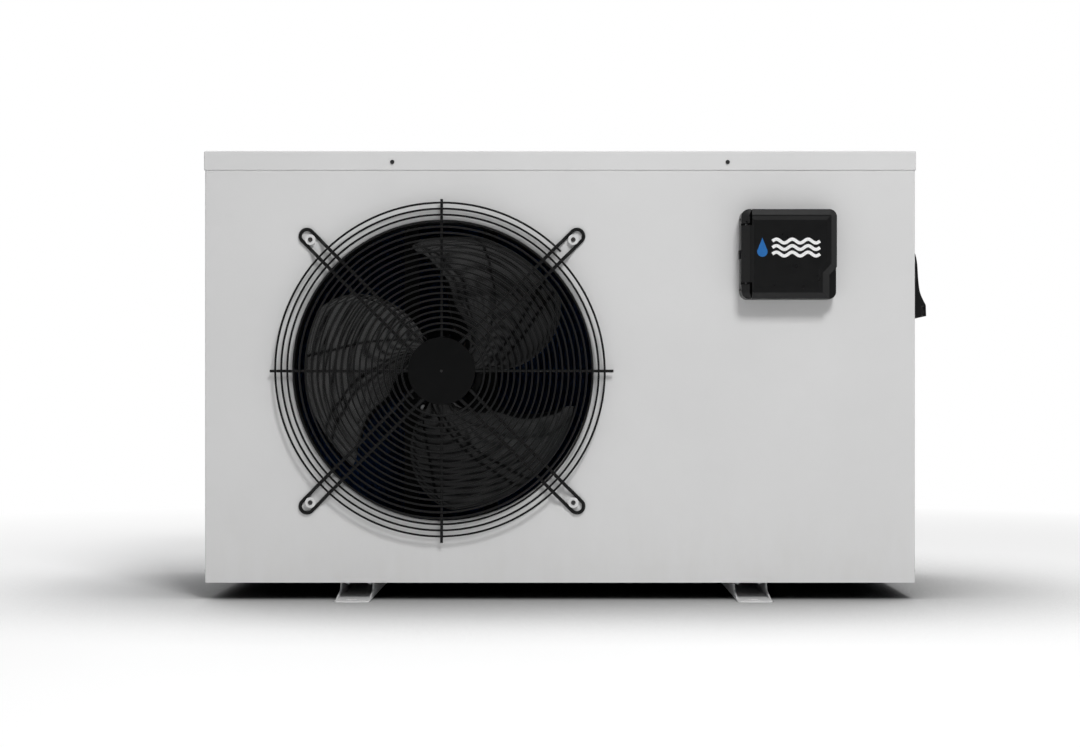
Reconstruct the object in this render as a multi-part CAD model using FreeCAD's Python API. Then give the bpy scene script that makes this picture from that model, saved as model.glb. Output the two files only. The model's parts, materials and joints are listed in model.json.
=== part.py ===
import FreeCAD, Part
import math
import os

# Pool heat pump in a side-discharge sheet-metal cabinet.  Millimetres, Z up, the front faces -Y.
# The origin lies on the ground at the centre of the four anchor slots of the foot rails.

Vector = FreeCAD.Vector
TO_RIGHT = Vector(1, 0, 0)
TO_BACK = Vector(0, 1, 0)
TO_FRONT = Vector(0, -1, 0)
TO_TOP = Vector(0, 0, 1)

# Cabinet
SHEET = 1.2
CABINET_WIDTH = 1000.0
CABINET_DEPTH = 418.0
CABINET_HEIGHT = 608.0
GROUND_CLEARANCE = 24.0
CABINET_CENTRE_X = 9.0
LEFT = CABINET_CENTRE_X - CABINET_WIDTH / 2
RIGHT = CABINET_CENTRE_X + CABINET_WIDTH / 2
FRONT = -CABINET_DEPTH / 2
BACK = CABINET_DEPTH / 2
FLOOR = GROUND_CLEARANCE
TOP = GROUND_CLEARANCE + CABINET_HEIGHT
PANEL_TOP = TOP - 2.0
RETURN_WIDTH = 30.0
BEND_RADIUS = 2.2
PAN_WALL = 30.0
BEAD_TOP = FLOOR + 5.2
LID_FLANGE = 27.0
LID_OVERHANG = 1.3
PARTITION_X = 112.0
REAR_PANEL_LEFT = 96.0

# Foot rails
RAIL_X = 281.0
RAIL_WIDTH = 48.0
RAIL_LENGTH = 488.0
RAIL_SHEET = 2.0
RAIL_LIP = 10.0
RAIL_WALL_HALF = 164.0
SLOT_Y = 224.0
SLOT_LENGTH = 18.0
SLOT_WIDTH = 10.0
RAIL_BOLT_OFFSET = 16.0
RAIL_BOLT_Y = 140.0
RAIL_BOLT_RADIUS = 3.0

# Fan, motor and outlet ring
FAN_X = -157.0
FAN_Z = 321.8
OUTLET_RADIUS = 219.0
OUTLET_ROLL = 8.0
THROAT_RADIUS = OUTLET_RADIUS - OUTLET_ROLL
THROAT_LENGTH = 44.0
FAN_RADIUS = 200.0
HUB_RADIUS = 44.0
HUB_FRONT = -165.0
HUB_BACK = -105.0
BLADE_COUNT = 3
BLADE_THICKNESS = 3.0
SHAFT_RADIUS = 6.0
MOTOR_RADIUS = 55.0
MOTOR_FRONT = -75.0
MOTOR_BACK = 6.5

# Fan guard
SPIRAL_WIRE = 1.5
SPIRAL_OUTER = 236.5
SPIRAL_PITCH = 8.44
SPIRAL_HALF_TURNS = 43
SPIRAL_Y = FRONT - 13.5
RADIAL_WIRE = 2.0
RADIAL_END = 241.0
ARM_WIRE = 2.5
ARM_SPREAD = 9.45
ARM_BEND = 6.0
ARM_LOOP_CENTRE = 268.5
DISC_RADIUS = 47.3
GUARD_BACK_Y = SPIRAL_Y + SPIRAL_WIRE
GUARD_SCREW_OFFSET = 184.7

# Controller
CONTROL_X = 328.0
CONTROL_Z = 484.5
CONTROL_WIDTH = 133.0
CONTROL_HEIGHT = 125.0
CONTROL_LEFT = CONTROL_X - CONTROL_WIDTH / 2
CONTROL_RIGHT = CONTROL_X + CONTROL_WIDTH / 2
CONTROL_LOW = CONTROL_Z - CONTROL_HEIGHT / 2
CONTROL_HIGH = CONTROL_Z + CONTROL_HEIGHT / 2
CONTROL_CORNER = 10.5
CONTROL_WALL = 2.5
BASE_FRONT = FRONT - 22.0
COVER_FRONT = FRONT - 36.0
COVER_RIM = COVER_FRONT + 6.0
COVER_BACK = BASE_FRONT - 0.2
COVER_BEVEL = 8.5
HINGE_BEVEL = 11.5
NECK_HALF_WIDTH = 44.0
NECK_HALF_HEIGHT = 39.0
HINGE_X = CONTROL_LEFT + 7.0
HINGE_Y = BASE_FRONT - 7.1
KNUCKLE_RADIUS = 6.8
KNUCKLE_HALF = 39.5
KNUCKLE_GAP = 3.0
HINGE_PIN_RADIUS = 2.0
LENS_THICKNESS = 1.4
BUTTON_RADIUS = 5.5
BUTTON_Z = CONTROL_Z - 34.0
BUTTON_X = {
    "power": CONTROL_X - 33.0,
    "mode": CONTROL_X - 11.0,
    "down": CONTROL_X + 11.0,
    "up": CONTROL_X + 33.0,
}

# Grip scoop on the right side panel
HANDLE_Y = -62.0
HANDLE_WIDTH = 130.0
HANDLE_TOP = 510.0
HANDLE_LOW = 403.0
HANDLE_WALL = 2.5

# Evaporator coil
COIL_DEPTH = 38.0
COIL_REAR_Y = 169.0
COIL_LEFT_X = -457.0
COIL_BEND = 69.0
COIL_FRONT_END = -165.0
COIL_TOP = 600.0
FIN_PITCH = 6.0
FIN_GROOVE = 2.0
TUBE_RADIUS = 4.76
TUBE_PITCH = 25.4
TUBE_ROW = 9.5
BENDS_PER_ROW = 11
GUARD_ROWS = (70.0, 197.0, 324.0, 451.0, 578.0)
TAB_DEPTH = 3.8

# Refrigerant and water side
COMPRESSOR_X = 235.0
COMPRESSOR_Y = 20.0
COMPRESSOR_RADIUS = 62.0
ACCUMULATOR_X = 185.0
ACCUMULATOR_Y = -75.0
ACCUMULATOR_RADIUS = 30.0
VALVE_Y = 70.0
VALVE_Z = 420.0
EXCHANGER_X = 400.0
EXCHANGER_Y = 70.0
EXCHANGER_RADIUS = 72.0
EXCHANGER_BOTTOM = 75.0
EXCHANGER_TOP = 445.0
INLET_Z = 130.0
OUTLET_Z = 390.0
PORT_RADIUS = 30.0
PORT_BORE = 22.0
PORT_END = BACK + 27.0
SOCKET_RADIUS = 25.1
SOCKET_DEPTH = 31.0
TAIL_RADIUS = 28.4
TAIL_END = PORT_END + 49.0
NUT_RADIUS = 40.0
FIT_GAP = 0.08

# Rear fittings
GAUGE_X = 180.0
GAUGE_Z = 520.0
GLAND_X = 150.0
GLAND_Z = (110.0, 160.0)
SERVICE_X = 150.0
SERVICE_Z = (240.0, 290.0)
SPOUT_X = -157.0
SPOUT_Y = 80.0

# Electrical box
BOX_X = (PARTITION_X + SHEET, 495.0)
BOX_Y = (-160.0, -30.0)
BOX_Z = (480.0, 620.0)
BOX_SHEET = 1.5

# Self-drilling sheet-metal screws
SCREW_RADIUS = 1.9
SCREW_HEAD_RADIUS = 3.0
SCREW_HEAD = 1.8
SCREW_LENGTH = 9.0


def slab(x_range, y_range, z_range):
    size = Vector(x_range[1] - x_range[0], y_range[1] - y_range[0], z_range[1] - z_range[0])
    corner = Vector(x_range[0], y_range[0], z_range[0])
    return Part.makeBox(size.x, size.y, size.z, corner)


def rod(start, end, radius):
    axis = end - start
    return Part.makeCylinder(radius, axis.Length, start, axis)


def disc_y(x, z, radius, y_from, y_to):
    return rod(Vector(x, y_from, z), Vector(x, y_to, z), radius)


def ring_y(x, z, outer, inner, y_from, y_to):
    margin = 1.0
    bore = disc_y(x, z, inner, y_from - margin, y_to + margin)
    return disc_y(x, z, outer, y_from, y_to).cut(bore)


def joined(pieces):
    body = pieces[0].multiFuse(pieces[1:])
    return body.removeSplitter()


def prism(points, direction):
    outline = Part.makePolygon(points + [points[0]])
    return Part.Face(outline).extrude(direction)


def hexagon_z(x, y, z, across_flats, height):
    corner_radius = across_flats / math.sqrt(3)
    points = []
    for step in range(6):
        angle = math.radians(60 * step)
        points.append(Vector(x + corner_radius * math.cos(angle), y + corner_radius * math.sin(angle), z))
    return prism(points, TO_TOP * height)


def polygon_y(x, z, corner_radius, sides, y_from, y_to):
    points = []
    for step in range(sides):
        angle = math.radians(360 * step / sides)
        points.append(Vector(x + corner_radius * math.cos(angle), y_from, z + corner_radius * math.sin(angle)))
    return prism(points, TO_BACK * (y_to - y_from))


def rounded_outline(x_range, z_range, y, radii):
    """Closed wire in the plane y, with corner radii in the order low-left, low-right, top-right, top-left."""
    corners = [
        (x_range[0], z_range[0], 180),
        (x_range[1], z_range[0], 270),
        (x_range[1], z_range[1], 0),
        (x_range[0], z_range[1], 90),
    ]
    inward = [(1, 1), (-1, 1), (-1, -1), (1, -1)]
    arcs = []
    for (x, z, start), (toward_x, toward_z), radius in zip(corners, inward, radii):
        centre = Vector(x + toward_x * radius, y, z + toward_z * radius)
        arc_points = []
        for extra in (0, 45, 90):
            angle = math.radians(start + extra)
            arc_points.append(centre + Vector(math.cos(angle), 0, math.sin(angle)) * radius)
        arcs.append(arc_points)
    edges = []
    for index, points in enumerate(arcs):
        edges.append(Part.Arc(points[0], points[1], points[2]).toShape())
        following = arcs[(index + 1) % len(arcs)]
        edges.append(Part.makeLine(points[2], following[0]))
    return Part.Wire(edges)


def rounded_block(x_range, z_range, y_range, radii):
    outline = rounded_outline(x_range, z_range, y_range[0], radii)
    return Part.Face(outline).extrude(TO_BACK * (y_range[1] - y_range[0]))


def rounded_taper(outer, inner, radii_outer, radii_inner, y_outer, y_inner):
    wide = rounded_outline(outer[0], outer[1], y_outer, radii_outer)
    narrow = rounded_outline(inner[0], inner[1], y_inner, radii_inner)
    return Part.makeLoft([wide, narrow], True, True)


def bent_path(points, bend):
    """Wire through the points, with every inner corner rounded to the bend radius."""
    edges = []
    last = points[0]
    for index in range(1, len(points) - 1):
        corner = points[index]
        incoming = (points[index - 1] - corner).normalize()
        outgoing = (points[index + 1] - corner).normalize()
        half_angle = incoming.getAngle(outgoing) / 2
        setback = bend / math.tan(half_angle)
        arc_start = corner + incoming * setback
        arc_end = corner + outgoing * setback
        bisector = (incoming + outgoing).normalize()
        centre = corner + bisector * (bend / math.sin(half_angle))
        arc_middle = centre - bisector * bend
        edges.append(Part.makeLine(last, arc_start))
        edges.append(Part.Arc(arc_start, arc_middle, arc_end).toShape())
        last = arc_end
    edges.append(Part.makeLine(last, points[-1]))
    return Part.Wire(edges)


def pipe(points, radius, bend):
    path = bent_path(points, bend)
    start = points[0]
    direction = points[1] - points[0]
    section = Part.Wire(Part.makeCircle(radius, start, direction))
    return path.makePipeShell([section], True, False)


def sheet_screws():
    """Seat position and inward direction of every sheet-metal screw."""
    lid_z = TOP - 16.0
    low_z = FLOOR + 16.0
    lid_front = FRONT - LID_OVERHANG
    lid_back = BACK + LID_OVERHANG
    lid_left = LEFT - LID_OVERHANG
    lid_right = RIGHT + LID_OVERHANG
    to_left = TO_RIGHT * -1
    screws = []
    for offset in (-236.0, 236.0):
        screws.append((Vector(CABINET_CENTRE_X + offset, lid_front, lid_z), TO_BACK))
    for x in (LEFT + 15, 300.0, RIGHT - 25):
        screws.append((Vector(x, lid_back, lid_z), TO_FRONT))
    screws.append((Vector(lid_left, FRONT + 15, lid_z), TO_RIGHT))
    screws.append((Vector(lid_left, BACK - 14, lid_z), TO_RIGHT))
    screws.append((Vector(lid_right, -60.0, lid_z), to_left))
    screws.append((Vector(lid_right, 120.0, lid_z), to_left))
    for z in (90.0, FAN_Z, 560.0):
        screws.append((Vector(RIGHT, FRONT + 22, z), to_left))
    for y in (FRONT + 12, -60.0, 120.0):
        screws.append((Vector(RIGHT, y, low_z), to_left))
    for z in (120.0, FAN_Z, 560.0):
        screws.append((Vector(RIGHT - 11, BACK, z), TO_FRONT))
    for x in (LEFT + 16, 130.0, 280.0, 470.0):
        screws.append((Vector(x, BACK, low_z), TO_FRONT))
    for y in (FRONT + 12, BACK - 14):
        screws.append((Vector(LEFT, y, low_z), TO_RIGHT))
    for z in GUARD_ROWS[::2]:
        screws.append((Vector(LEFT, FRONT + 19, z), TO_RIGHT))
        screws.append((Vector(LEFT, BACK - 17, z), TO_RIGHT))
        screws.append((Vector(LEFT + 18, BACK, z), TO_FRONT))
        screws.append((Vector(REAR_PANEL_LEFT + 9, BACK, z), TO_FRONT))
    return screws


def screw_holes():
    holes = []
    for seat, inward in sheet_screws():
        holes.append(rod(seat - inward * 2, seat + inward * (SCREW_LENGTH + 2), SCREW_RADIUS + 0.05))
    return Part.makeCompound(holes)


def round_screw(seat, inward, head_radius, head_height, shank_radius, length):
    head = rod(seat, seat - inward * head_height, head_radius)
    rim = [edge for edge in head.Edges if (edge.CenterOfMass - seat).Length > head_height / 2 and edge.Closed]
    head = head.makeFillet(head_height * 0.45, rim)
    shank = rod(seat, seat + inward * length, shank_radius)
    cross = Vector(inward.y, inward.z, inward.x)
    other = inward.cross(cross)
    face = seat - inward * head_height
    width = head_radius * 0.16
    reach = head_radius * 0.55
    screw = head.fuse(shank)
    for along, across in ((cross, other), (other, cross)):
        corner = face - along * reach - across * width
        notch = [corner, corner + along * 2 * reach, corner + along * 2 * reach + across * 2 * width]
        notch.append(corner + across * 2 * width)
        screw = screw.cut(prism(notch, inward * head_height * 0.45))
    return screw


def panel_screws():
    screws = []
    for seat, inward in sheet_screws():
        screws.append(round_screw(seat, inward, SCREW_HEAD_RADIUS, SCREW_HEAD, SCREW_RADIUS, SCREW_LENGTH))
    for y, z in handle_screw_points():
        screws.append(round_screw(Vector(RIGHT + 2, y, z), TO_RIGHT * -1, 3.2, 2.0, 1.75, 8.0))
    return Part.makeCompound(screws)


# ---------------------------------------------------------------- foot rails and base pan


def rail_bolt_points():
    points = []
    for rail_x in (-RAIL_X, RAIL_X):
        for x_side in (-RAIL_BOLT_OFFSET, RAIL_BOLT_OFFSET):
            for y in (-RAIL_BOLT_Y, RAIL_BOLT_Y):
                points.append((rail_x + x_side, y))
    return points


def anchor_slot(centre_x, centre_y):
    reach = (SLOT_LENGTH - SLOT_WIDTH) / 2
    radius = SLOT_WIDTH / 2
    middle = slab(
        (centre_x - reach, centre_x + reach),
        (centre_y - radius, centre_y + radius),
        (-1, RAIL_SHEET + 1),
    )
    ends = []
    for x in (centre_x - reach, centre_x + reach):
        ends.append(rod(Vector(x, centre_y, -1), Vector(x, centre_y, RAIL_SHEET + 1), radius))
    return middle.multiFuse(ends)


def foot_rail(centre_x):
    half_width = RAIL_WIDTH / 2
    half_length = RAIL_LENGTH / 2
    plate = slab((centre_x - half_width, centre_x + half_width), (-half_length, half_length), (0, RAIL_SHEET))
    upright_edges = [edge for edge in plate.Edges if abs(edge.Length - RAIL_SHEET) < 0.01]
    plate = plate.makeFillet(6.0, upright_edges)
    pieces = [plate]
    for wall_x in (centre_x - half_width, centre_x + half_width - RAIL_SHEET):
        profile = [
            Vector(wall_x, 8 - half_length, 0),
            Vector(wall_x, -RAIL_WALL_HALF - 8, RAIL_LIP),
            Vector(wall_x, -RAIL_WALL_HALF, FLOOR),
            Vector(wall_x, RAIL_WALL_HALF, FLOOR),
            Vector(wall_x, RAIL_WALL_HALF + 8, RAIL_LIP),
            Vector(wall_x, half_length - 8, 0),
        ]
        pieces.append(prism(profile, TO_RIGHT * RAIL_SHEET))
    for flange_x in (centre_x - half_width, centre_x + half_width - 12):
        flange_y = (-RAIL_WALL_HALF, RAIL_WALL_HALF)
        pieces.append(slab((flange_x, flange_x + 12), flange_y, (FLOOR - RAIL_SHEET, FLOOR)))
    rail = joined(pieces)
    cuts = [anchor_slot(centre_x, -SLOT_Y), anchor_slot(centre_x, SLOT_Y)]
    for x, y in rail_bolt_points():
        cuts.append(rod(Vector(x, y, FLOOR - 4), Vector(x, y, FLOOR + 4), RAIL_BOLT_RADIUS + 0.2))
    return rail.cut(cuts)


def rail_bolts():
    """Hex bolts through pan and rail, each with its nut as a separate solid."""
    bolts = []
    nut_height = 5.0
    seat = FLOOR + SHEET
    for x, y in rail_bolt_points():
        head = hexagon_z(x, y, seat, 10.0, 4.0)
        shank = rod(Vector(x, y, seat), Vector(x, y, FLOOR - 9), RAIL_BOLT_RADIUS)
        under = FLOOR - RAIL_SHEET - nut_height
        nut = hexagon_z(x, y, under, 10.0, nut_height)
        bore = rod(Vector(x, y, under - 1), Vector(x, y, under + nut_height + 1), RAIL_BOLT_RADIUS + 0.02)
        bolts += [head.fuse(shank), nut.cut(bore)]
    return Part.makeCompound(bolts)


def pressed_bead(x_range, y_range):
    """Hollow stiffening rib pressed up out of the pan floor."""
    outer = slab(x_range, y_range, (FLOOR, BEAD_TOP))
    inner_x = (x_range[0] + SHEET, x_range[1] - SHEET)
    inner_y = (y_range[0] + SHEET, y_range[1] - SHEET)
    inner = slab(inner_x, inner_y, (FLOOR - 1, BEAD_TOP - SHEET))
    return outer, inner


def base_pan():
    outer_x = (LEFT + SHEET, RIGHT - SHEET)
    outer_y = (FRONT + SHEET, BACK - SHEET)
    tray = slab(outer_x, outer_y, (FLOOR, FLOOR + PAN_WALL))
    tray = tray.makeFillet(BEND_RADIUS - SHEET, [edge for edge in tray.Edges if is_upright(edge)])
    inner_x = (outer_x[0] + SHEET, outer_x[1] - SHEET)
    inner_y = (outer_y[0] + SHEET, outer_y[1] - SHEET)
    tray = tray.cut(slab(inner_x, inner_y, (FLOOR + SHEET, FLOOR + PAN_WALL + 1)))
    beads = [
        pressed_bead((-380, PARTITION_X - 12), (COIL_REAR_Y - 10, COIL_REAR_Y + 10)),
        pressed_bead((COIL_LEFT_X - 10, COIL_LEFT_X + 10), (-150, 80)),
        pressed_bead((-230, -190), (-150, -10)),
        pressed_bead((-120, -80), (-150, -10)),
    ]
    tray = tray.multiFuse([outer for outer, inner in beads])
    tray = tray.cut([inner for outer, inner in beads])
    cuts = [rod(Vector(SPOUT_X, SPOUT_Y, FLOOR - 1), Vector(SPOUT_X, SPOUT_Y, FLOOR + 3), 8.0)]
    for x, y in rail_bolt_points():
        cuts.append(rod(Vector(x, y, FLOOR - 1), Vector(x, y, FLOOR + 3), RAIL_BOLT_RADIUS + 0.2))
    for x, y in compressor_feet():
        cuts.append(rod(Vector(x, y, FLOOR - 1), Vector(x, y, FLOOR + 3), 4.1))
    cuts.append(screw_holes())
    return tray.cut(cuts)


def drain_spout():
    under = FLOOR - 2.5
    flange = rod(Vector(SPOUT_X, SPOUT_Y, FLOOR), Vector(SPOUT_X, SPOUT_Y, under), 18.0)
    body = rod(Vector(SPOUT_X, SPOUT_Y, under + 1), Vector(SPOUT_X, SPOUT_Y, 2.0), 10.0)
    neck = rod(Vector(SPOUT_X, SPOUT_Y, FLOOR), Vector(SPOUT_X, SPOUT_Y, FLOOR + 2.5), 7.8)
    nozzle_z = 11.5
    nozzle_end = SPOUT_Y + 45
    shoulder = disc_y(SPOUT_X, nozzle_z, 9.3, SPOUT_Y, SPOUT_Y + 12)
    nozzle = disc_y(SPOUT_X, nozzle_z, 8.0, SPOUT_Y, nozzle_end)
    fitting = joined([flange, body, neck, shoulder, nozzle])
    well = rod(Vector(SPOUT_X, SPOUT_Y, 4.5), Vector(SPOUT_X, SPOUT_Y, FLOOR + 4), 6.5)
    bore = disc_y(SPOUT_X, nozzle_z, 5.5, SPOUT_Y, nozzle_end + 1)
    return fitting.cut(well.fuse(bore))


# ---------------------------------------------------------------- cabinet sheets


def folded_sheet(y_edge, y_open, x_range, z_range):
    """Sheet with both side edges folded from the face at y_edge toward y_open."""
    low_y = min(y_edge, y_open)
    high_y = max(y_edge, y_open)
    outer = slab(x_range, (low_y, high_y), z_range)
    face_edges = [edge for edge in outer.Edges if is_upright(edge) and abs(edge.CenterOfMass.y - y_edge) < 0.01]
    outer = outer.makeFillet(BEND_RADIUS, face_edges)
    inner_x = (x_range[0] + SHEET, x_range[1] - SHEET)
    if y_edge < y_open:
        inner_y = (y_edge + SHEET, y_open + 1)
    else:
        inner_y = (y_open - 1, y_edge - SHEET)
    inner = slab(inner_x, inner_y, (z_range[0] - 1, z_range[1] + 1))
    inside_y = inner_y[0] if y_edge < y_open else inner_y[1]
    inner_edges = [edge for edge in inner.Edges if is_upright(edge) and abs(edge.CenterOfMass.y - inside_y) < 0.01]
    inner = inner.makeFillet(BEND_RADIUS - SHEET, inner_edges)
    return outer.cut(inner)


def is_upright(edge):
    start = edge.Vertexes[0].Point
    end = edge.Vertexes[-1].Point
    return abs(start.x - end.x) < 0.001 and abs(start.y - end.y) < 0.001


def outlet_ring():
    """Air outlet rolled inward from the front sheet and running on as a short throat."""
    roll_y = FRONT + OUTLET_ROLL
    inner_roll = OUTLET_ROLL - SHEET
    diagonal = math.cos(math.radians(45))

    def at(radius, y):
        return Vector(FAN_X + radius, y, FAN_Z)

    outer_start = at(OUTLET_RADIUS, FRONT)
    outer_middle = at(OUTLET_RADIUS - OUTLET_ROLL * diagonal, roll_y - OUTLET_ROLL * diagonal)
    outer_end = at(THROAT_RADIUS, roll_y)
    throat_end = at(THROAT_RADIUS, FRONT + THROAT_LENGTH)
    throat_back = at(THROAT_RADIUS + SHEET, FRONT + THROAT_LENGTH)
    inner_start = at(THROAT_RADIUS + SHEET, roll_y)
    inner_middle = at(OUTLET_RADIUS - inner_roll * diagonal, roll_y - inner_roll * diagonal)
    inner_end = at(OUTLET_RADIUS, FRONT + SHEET)
    edges = [
        Part.Arc(outer_start, outer_middle, outer_end).toShape(),
        Part.makeLine(outer_end, throat_end),
        Part.makeLine(throat_end, throat_back),
        Part.makeLine(throat_back, inner_start),
        Part.Arc(inner_start, inner_middle, inner_end).toShape(),
        Part.makeLine(inner_end, outer_start),
    ]
    profile = Part.Face(Part.Wire(edges))
    return profile.revolve(Vector(FAN_X, 0, FAN_Z), TO_BACK, 360)


def guard_screw_points():
    points = []
    for x_side in (-1, 1):
        for z_side in (-1, 1):
            points.append((FAN_X + x_side * GUARD_SCREW_OFFSET, FAN_Z + z_side * GUARD_SCREW_OFFSET))
    return points


def front_panel():
    sheet = folded_sheet(FRONT, FRONT + RETURN_WIDTH, (LEFT, RIGHT), (FLOOR, PANEL_TOP))
    sheet = sheet.cut(disc_y(FAN_X, FAN_Z, OUTLET_RADIUS, FRONT - 5, FRONT + 5))
    sheet = joined([sheet, outlet_ring()])
    cuts = [screw_holes()]
    for x, z in guard_screw_points():
        cuts.append(disc_y(x, z, 1.8, FRONT - 5, FRONT + 5))
    window_x = (CONTROL_X - NECK_HALF_WIDTH - 0.5, CONTROL_X + NECK_HALF_WIDTH + 0.5)
    window_z = (CONTROL_Z - NECK_HALF_HEIGHT - 0.5, CONTROL_Z + NECK_HALF_HEIGHT + 0.5)
    cuts.append(slab(window_x, (FRONT - 5, FRONT + 5), window_z))
    return sheet.cut(cuts)


def top_lid():
    outer_x = (LEFT - LID_OVERHANG, RIGHT + LID_OVERHANG)
    outer_y = (FRONT - LID_OVERHANG, BACK + LID_OVERHANG)
    outer = slab(outer_x, outer_y, (TOP - LID_FLANGE, TOP))
    bottom_edges = [edge for edge in outer.Edges if edge.CenterOfMass.z < TOP - LID_FLANGE + 0.1]
    rounded = [edge for edge in outer.Edges if not any(edge.isSame(low) for low in bottom_edges)]
    outer = outer.makeFillet(BEND_RADIUS, rounded)
    inner_x = (outer_x[0] + SHEET, outer_x[1] - SHEET)
    inner_y = (outer_y[0] + SHEET, outer_y[1] - SHEET)
    inner = slab(inner_x, inner_y, (TOP - LID_FLANGE - 1, TOP - SHEET))
    lid = outer.cut(inner)
    seam_width = 0.8
    seams = []
    for x_edge in (outer_x[0] - 1, outer_x[1] - SHEET):
        for y_edge in (outer_y[0] + 2.4, outer_y[1] - 2.4 - seam_width):
            seam_z = (TOP - LID_FLANGE - 1, TOP - BEND_RADIUS - 0.5)
            seams.append(slab((x_edge, x_edge + SHEET + 1), (y_edge, y_edge + seam_width), seam_z))
    return lid.cut(seams + [screw_holes()])


def right_side_panel():
    joint_y = FRONT + RETURN_WIDTH + 0.5
    above_pan = FLOOR + PAN_WALL + 2
    main = slab((RIGHT - SHEET, RIGHT), (joint_y, BACK), (FLOOR, PANEL_TOP))
    tab = slab((RIGHT - 2 * SHEET, RIGHT - SHEET), (joint_y - 14, joint_y + 14), (above_pan, PANEL_TOP))
    rear_y = (BACK - 2 * SHEET, BACK - SHEET)
    rear_return = slab((RIGHT - 20, RIGHT - SHEET), rear_y, (above_pan, PANEL_TOP))
    panel = joined([main, tab, rear_return])
    grip = rounded_grip_opening()
    holes = [screw_holes(), grip]
    for y, z in handle_screw_points():
        holes.append(rod(Vector(RIGHT - 5, y, z), Vector(RIGHT + 5, y, z), 1.8))
    return panel.cut(holes)


def rounded_grip_opening():
    grip = slab((RIGHT - 5, RIGHT + 5), (HANDLE_Y - 45, HANDLE_Y + 45), (HANDLE_LOW + 22, HANDLE_LOW + 57))
    corners = [edge for edge in grip.Edges if abs(edge.Length - 10) < 0.01]
    return grip.makeFillet(12.0, corners)


def rear_service_panel():
    panel = slab((REAR_PANEL_LEFT, RIGHT - SHEET), (BACK - SHEET, BACK), (FLOOR, PANEL_TOP))
    cuts = [screw_holes()]
    for z in (INLET_Z, OUTLET_Z):
        cuts.append(disc_y(EXCHANGER_X, z, PORT_RADIUS + 3, BACK - 5, BACK + 5))
    cuts.append(disc_y(GAUGE_X, GAUGE_Z, 27.3, BACK - 5, BACK + 5))
    for z in GLAND_Z:
        cuts.append(disc_y(GLAND_X, z, 10.1, BACK - 5, BACK + 5))
    for z in SERVICE_Z:
        cuts.append(disc_y(SERVICE_X, z, 8.1, BACK - 5, BACK + 5))
    for row in range(8):
        for x in (260.0, 300.0):
            z = 470.0 + 12 * row
            cuts.append(slab((x - 16, x + 16), (BACK - 5, BACK + 5), (z, z + 4)))
    return panel.cut(cuts)


def rear_corner_post():
    outer = slab((LEFT, LEFT + RETURN_WIDTH), (BACK - RETURN_WIDTH, BACK), (FLOOR, PANEL_TOP))
    corner = [
        edge
        for edge in outer.Edges
        if is_upright(edge) and (edge.CenterOfMass - Vector(LEFT, BACK, edge.CenterOfMass.z)).Length < 0.1
    ]
    outer = outer.makeFillet(BEND_RADIUS, corner)
    inner_x = (LEFT + SHEET, LEFT + RETURN_WIDTH + 1)
    inner_y = (BACK - RETURN_WIDTH - 1, BACK - SHEET)
    return outer.cut([slab(inner_x, inner_y, (FLOOR - 1, TOP)), screw_holes()])


def partition_panel():
    above_pan = FLOOR + PAN_WALL + 2
    plate_x = (PARTITION_X, PARTITION_X + SHEET)
    floor_z = FLOOR + SHEET
    plate = slab(plate_x, (FRONT + 2 * SHEET, COIL_REAR_Y - COIL_DEPTH / 2 - 4), (floor_z, PANEL_TOP))
    foot = slab((plate_x[0], plate_x[1] + 14), (FRONT + 20, 130), (floor_z, floor_z + SHEET))
    front_flange_y = (FRONT + SHEET, FRONT + 2 * SHEET)
    flange = slab((plate_x[0], plate_x[1] + 14), front_flange_y, (above_pan, PANEL_TOP - 5))
    upper = slab(plate_x, (FRONT + SHEET, FRONT + 3 * SHEET), (above_pan, PANEL_TOP - 5))
    return joined([plate, foot, flange, upper])


# ---------------------------------------------------------------- coil and coil guards


def wire_screen(columns, rows, column_span, row_span, place):
    """Welded screen; place(u, depth, z) maps screen coordinates to the cabinet."""
    column_depth = 7.5
    row_depth = 4.7
    wires = []
    for u in columns:
        wires.append(rod(place(u, column_depth, column_span[0]), place(u, column_depth, column_span[1]), 1.5))
    for z in rows:
        wires.append(rod(place(row_span[0], row_depth, z), place(row_span[1], row_depth, z), 2.0))
    return wires


def spaced(first, last, count):
    return [first + (last - first) * index / (count - 1) for index in range(count)]


def rear_coil_guard():
    def place(u, depth, z):
        return Vector(u, BACK - depth, z)

    column_span = (GUARD_ROWS[0] - 11, GUARD_ROWS[-1] + 18)
    pieces = wire_screen(spaced(-455, 88, 24), GUARD_ROWS, column_span, (LEFT + 10, PARTITION_X - 2), place)
    for z in GUARD_ROWS[::2]:
        for x in (LEFT + 18, REAR_PANEL_LEFT + 9):
            pieces.append(slab((x - 7, x + 7), (BACK - TAB_DEPTH, BACK - SHEET), (z - 8, z + 8)))
    return joined(pieces).cut(screw_holes())


def left_coil_guard():
    def place(u, depth, z):
        return Vector(LEFT + depth, u, z)

    column_span = (GUARD_ROWS[0] - 11, GUARD_ROWS[-1] + 18)
    pieces = wire_screen(spaced(-173.5, 171.5, 16), GUARD_ROWS, column_span, (FRONT + 12, BACK - 10), place)
    for z in GUARD_ROWS[::2]:
        for y in (FRONT + 19, BACK - 17):
            pieces.append(slab((LEFT + SHEET, LEFT + TAB_DEPTH), (y - 7.5, y + 7.5), (z - 8, z + 8)))
    return joined(pieces).cut(screw_holes())


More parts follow.
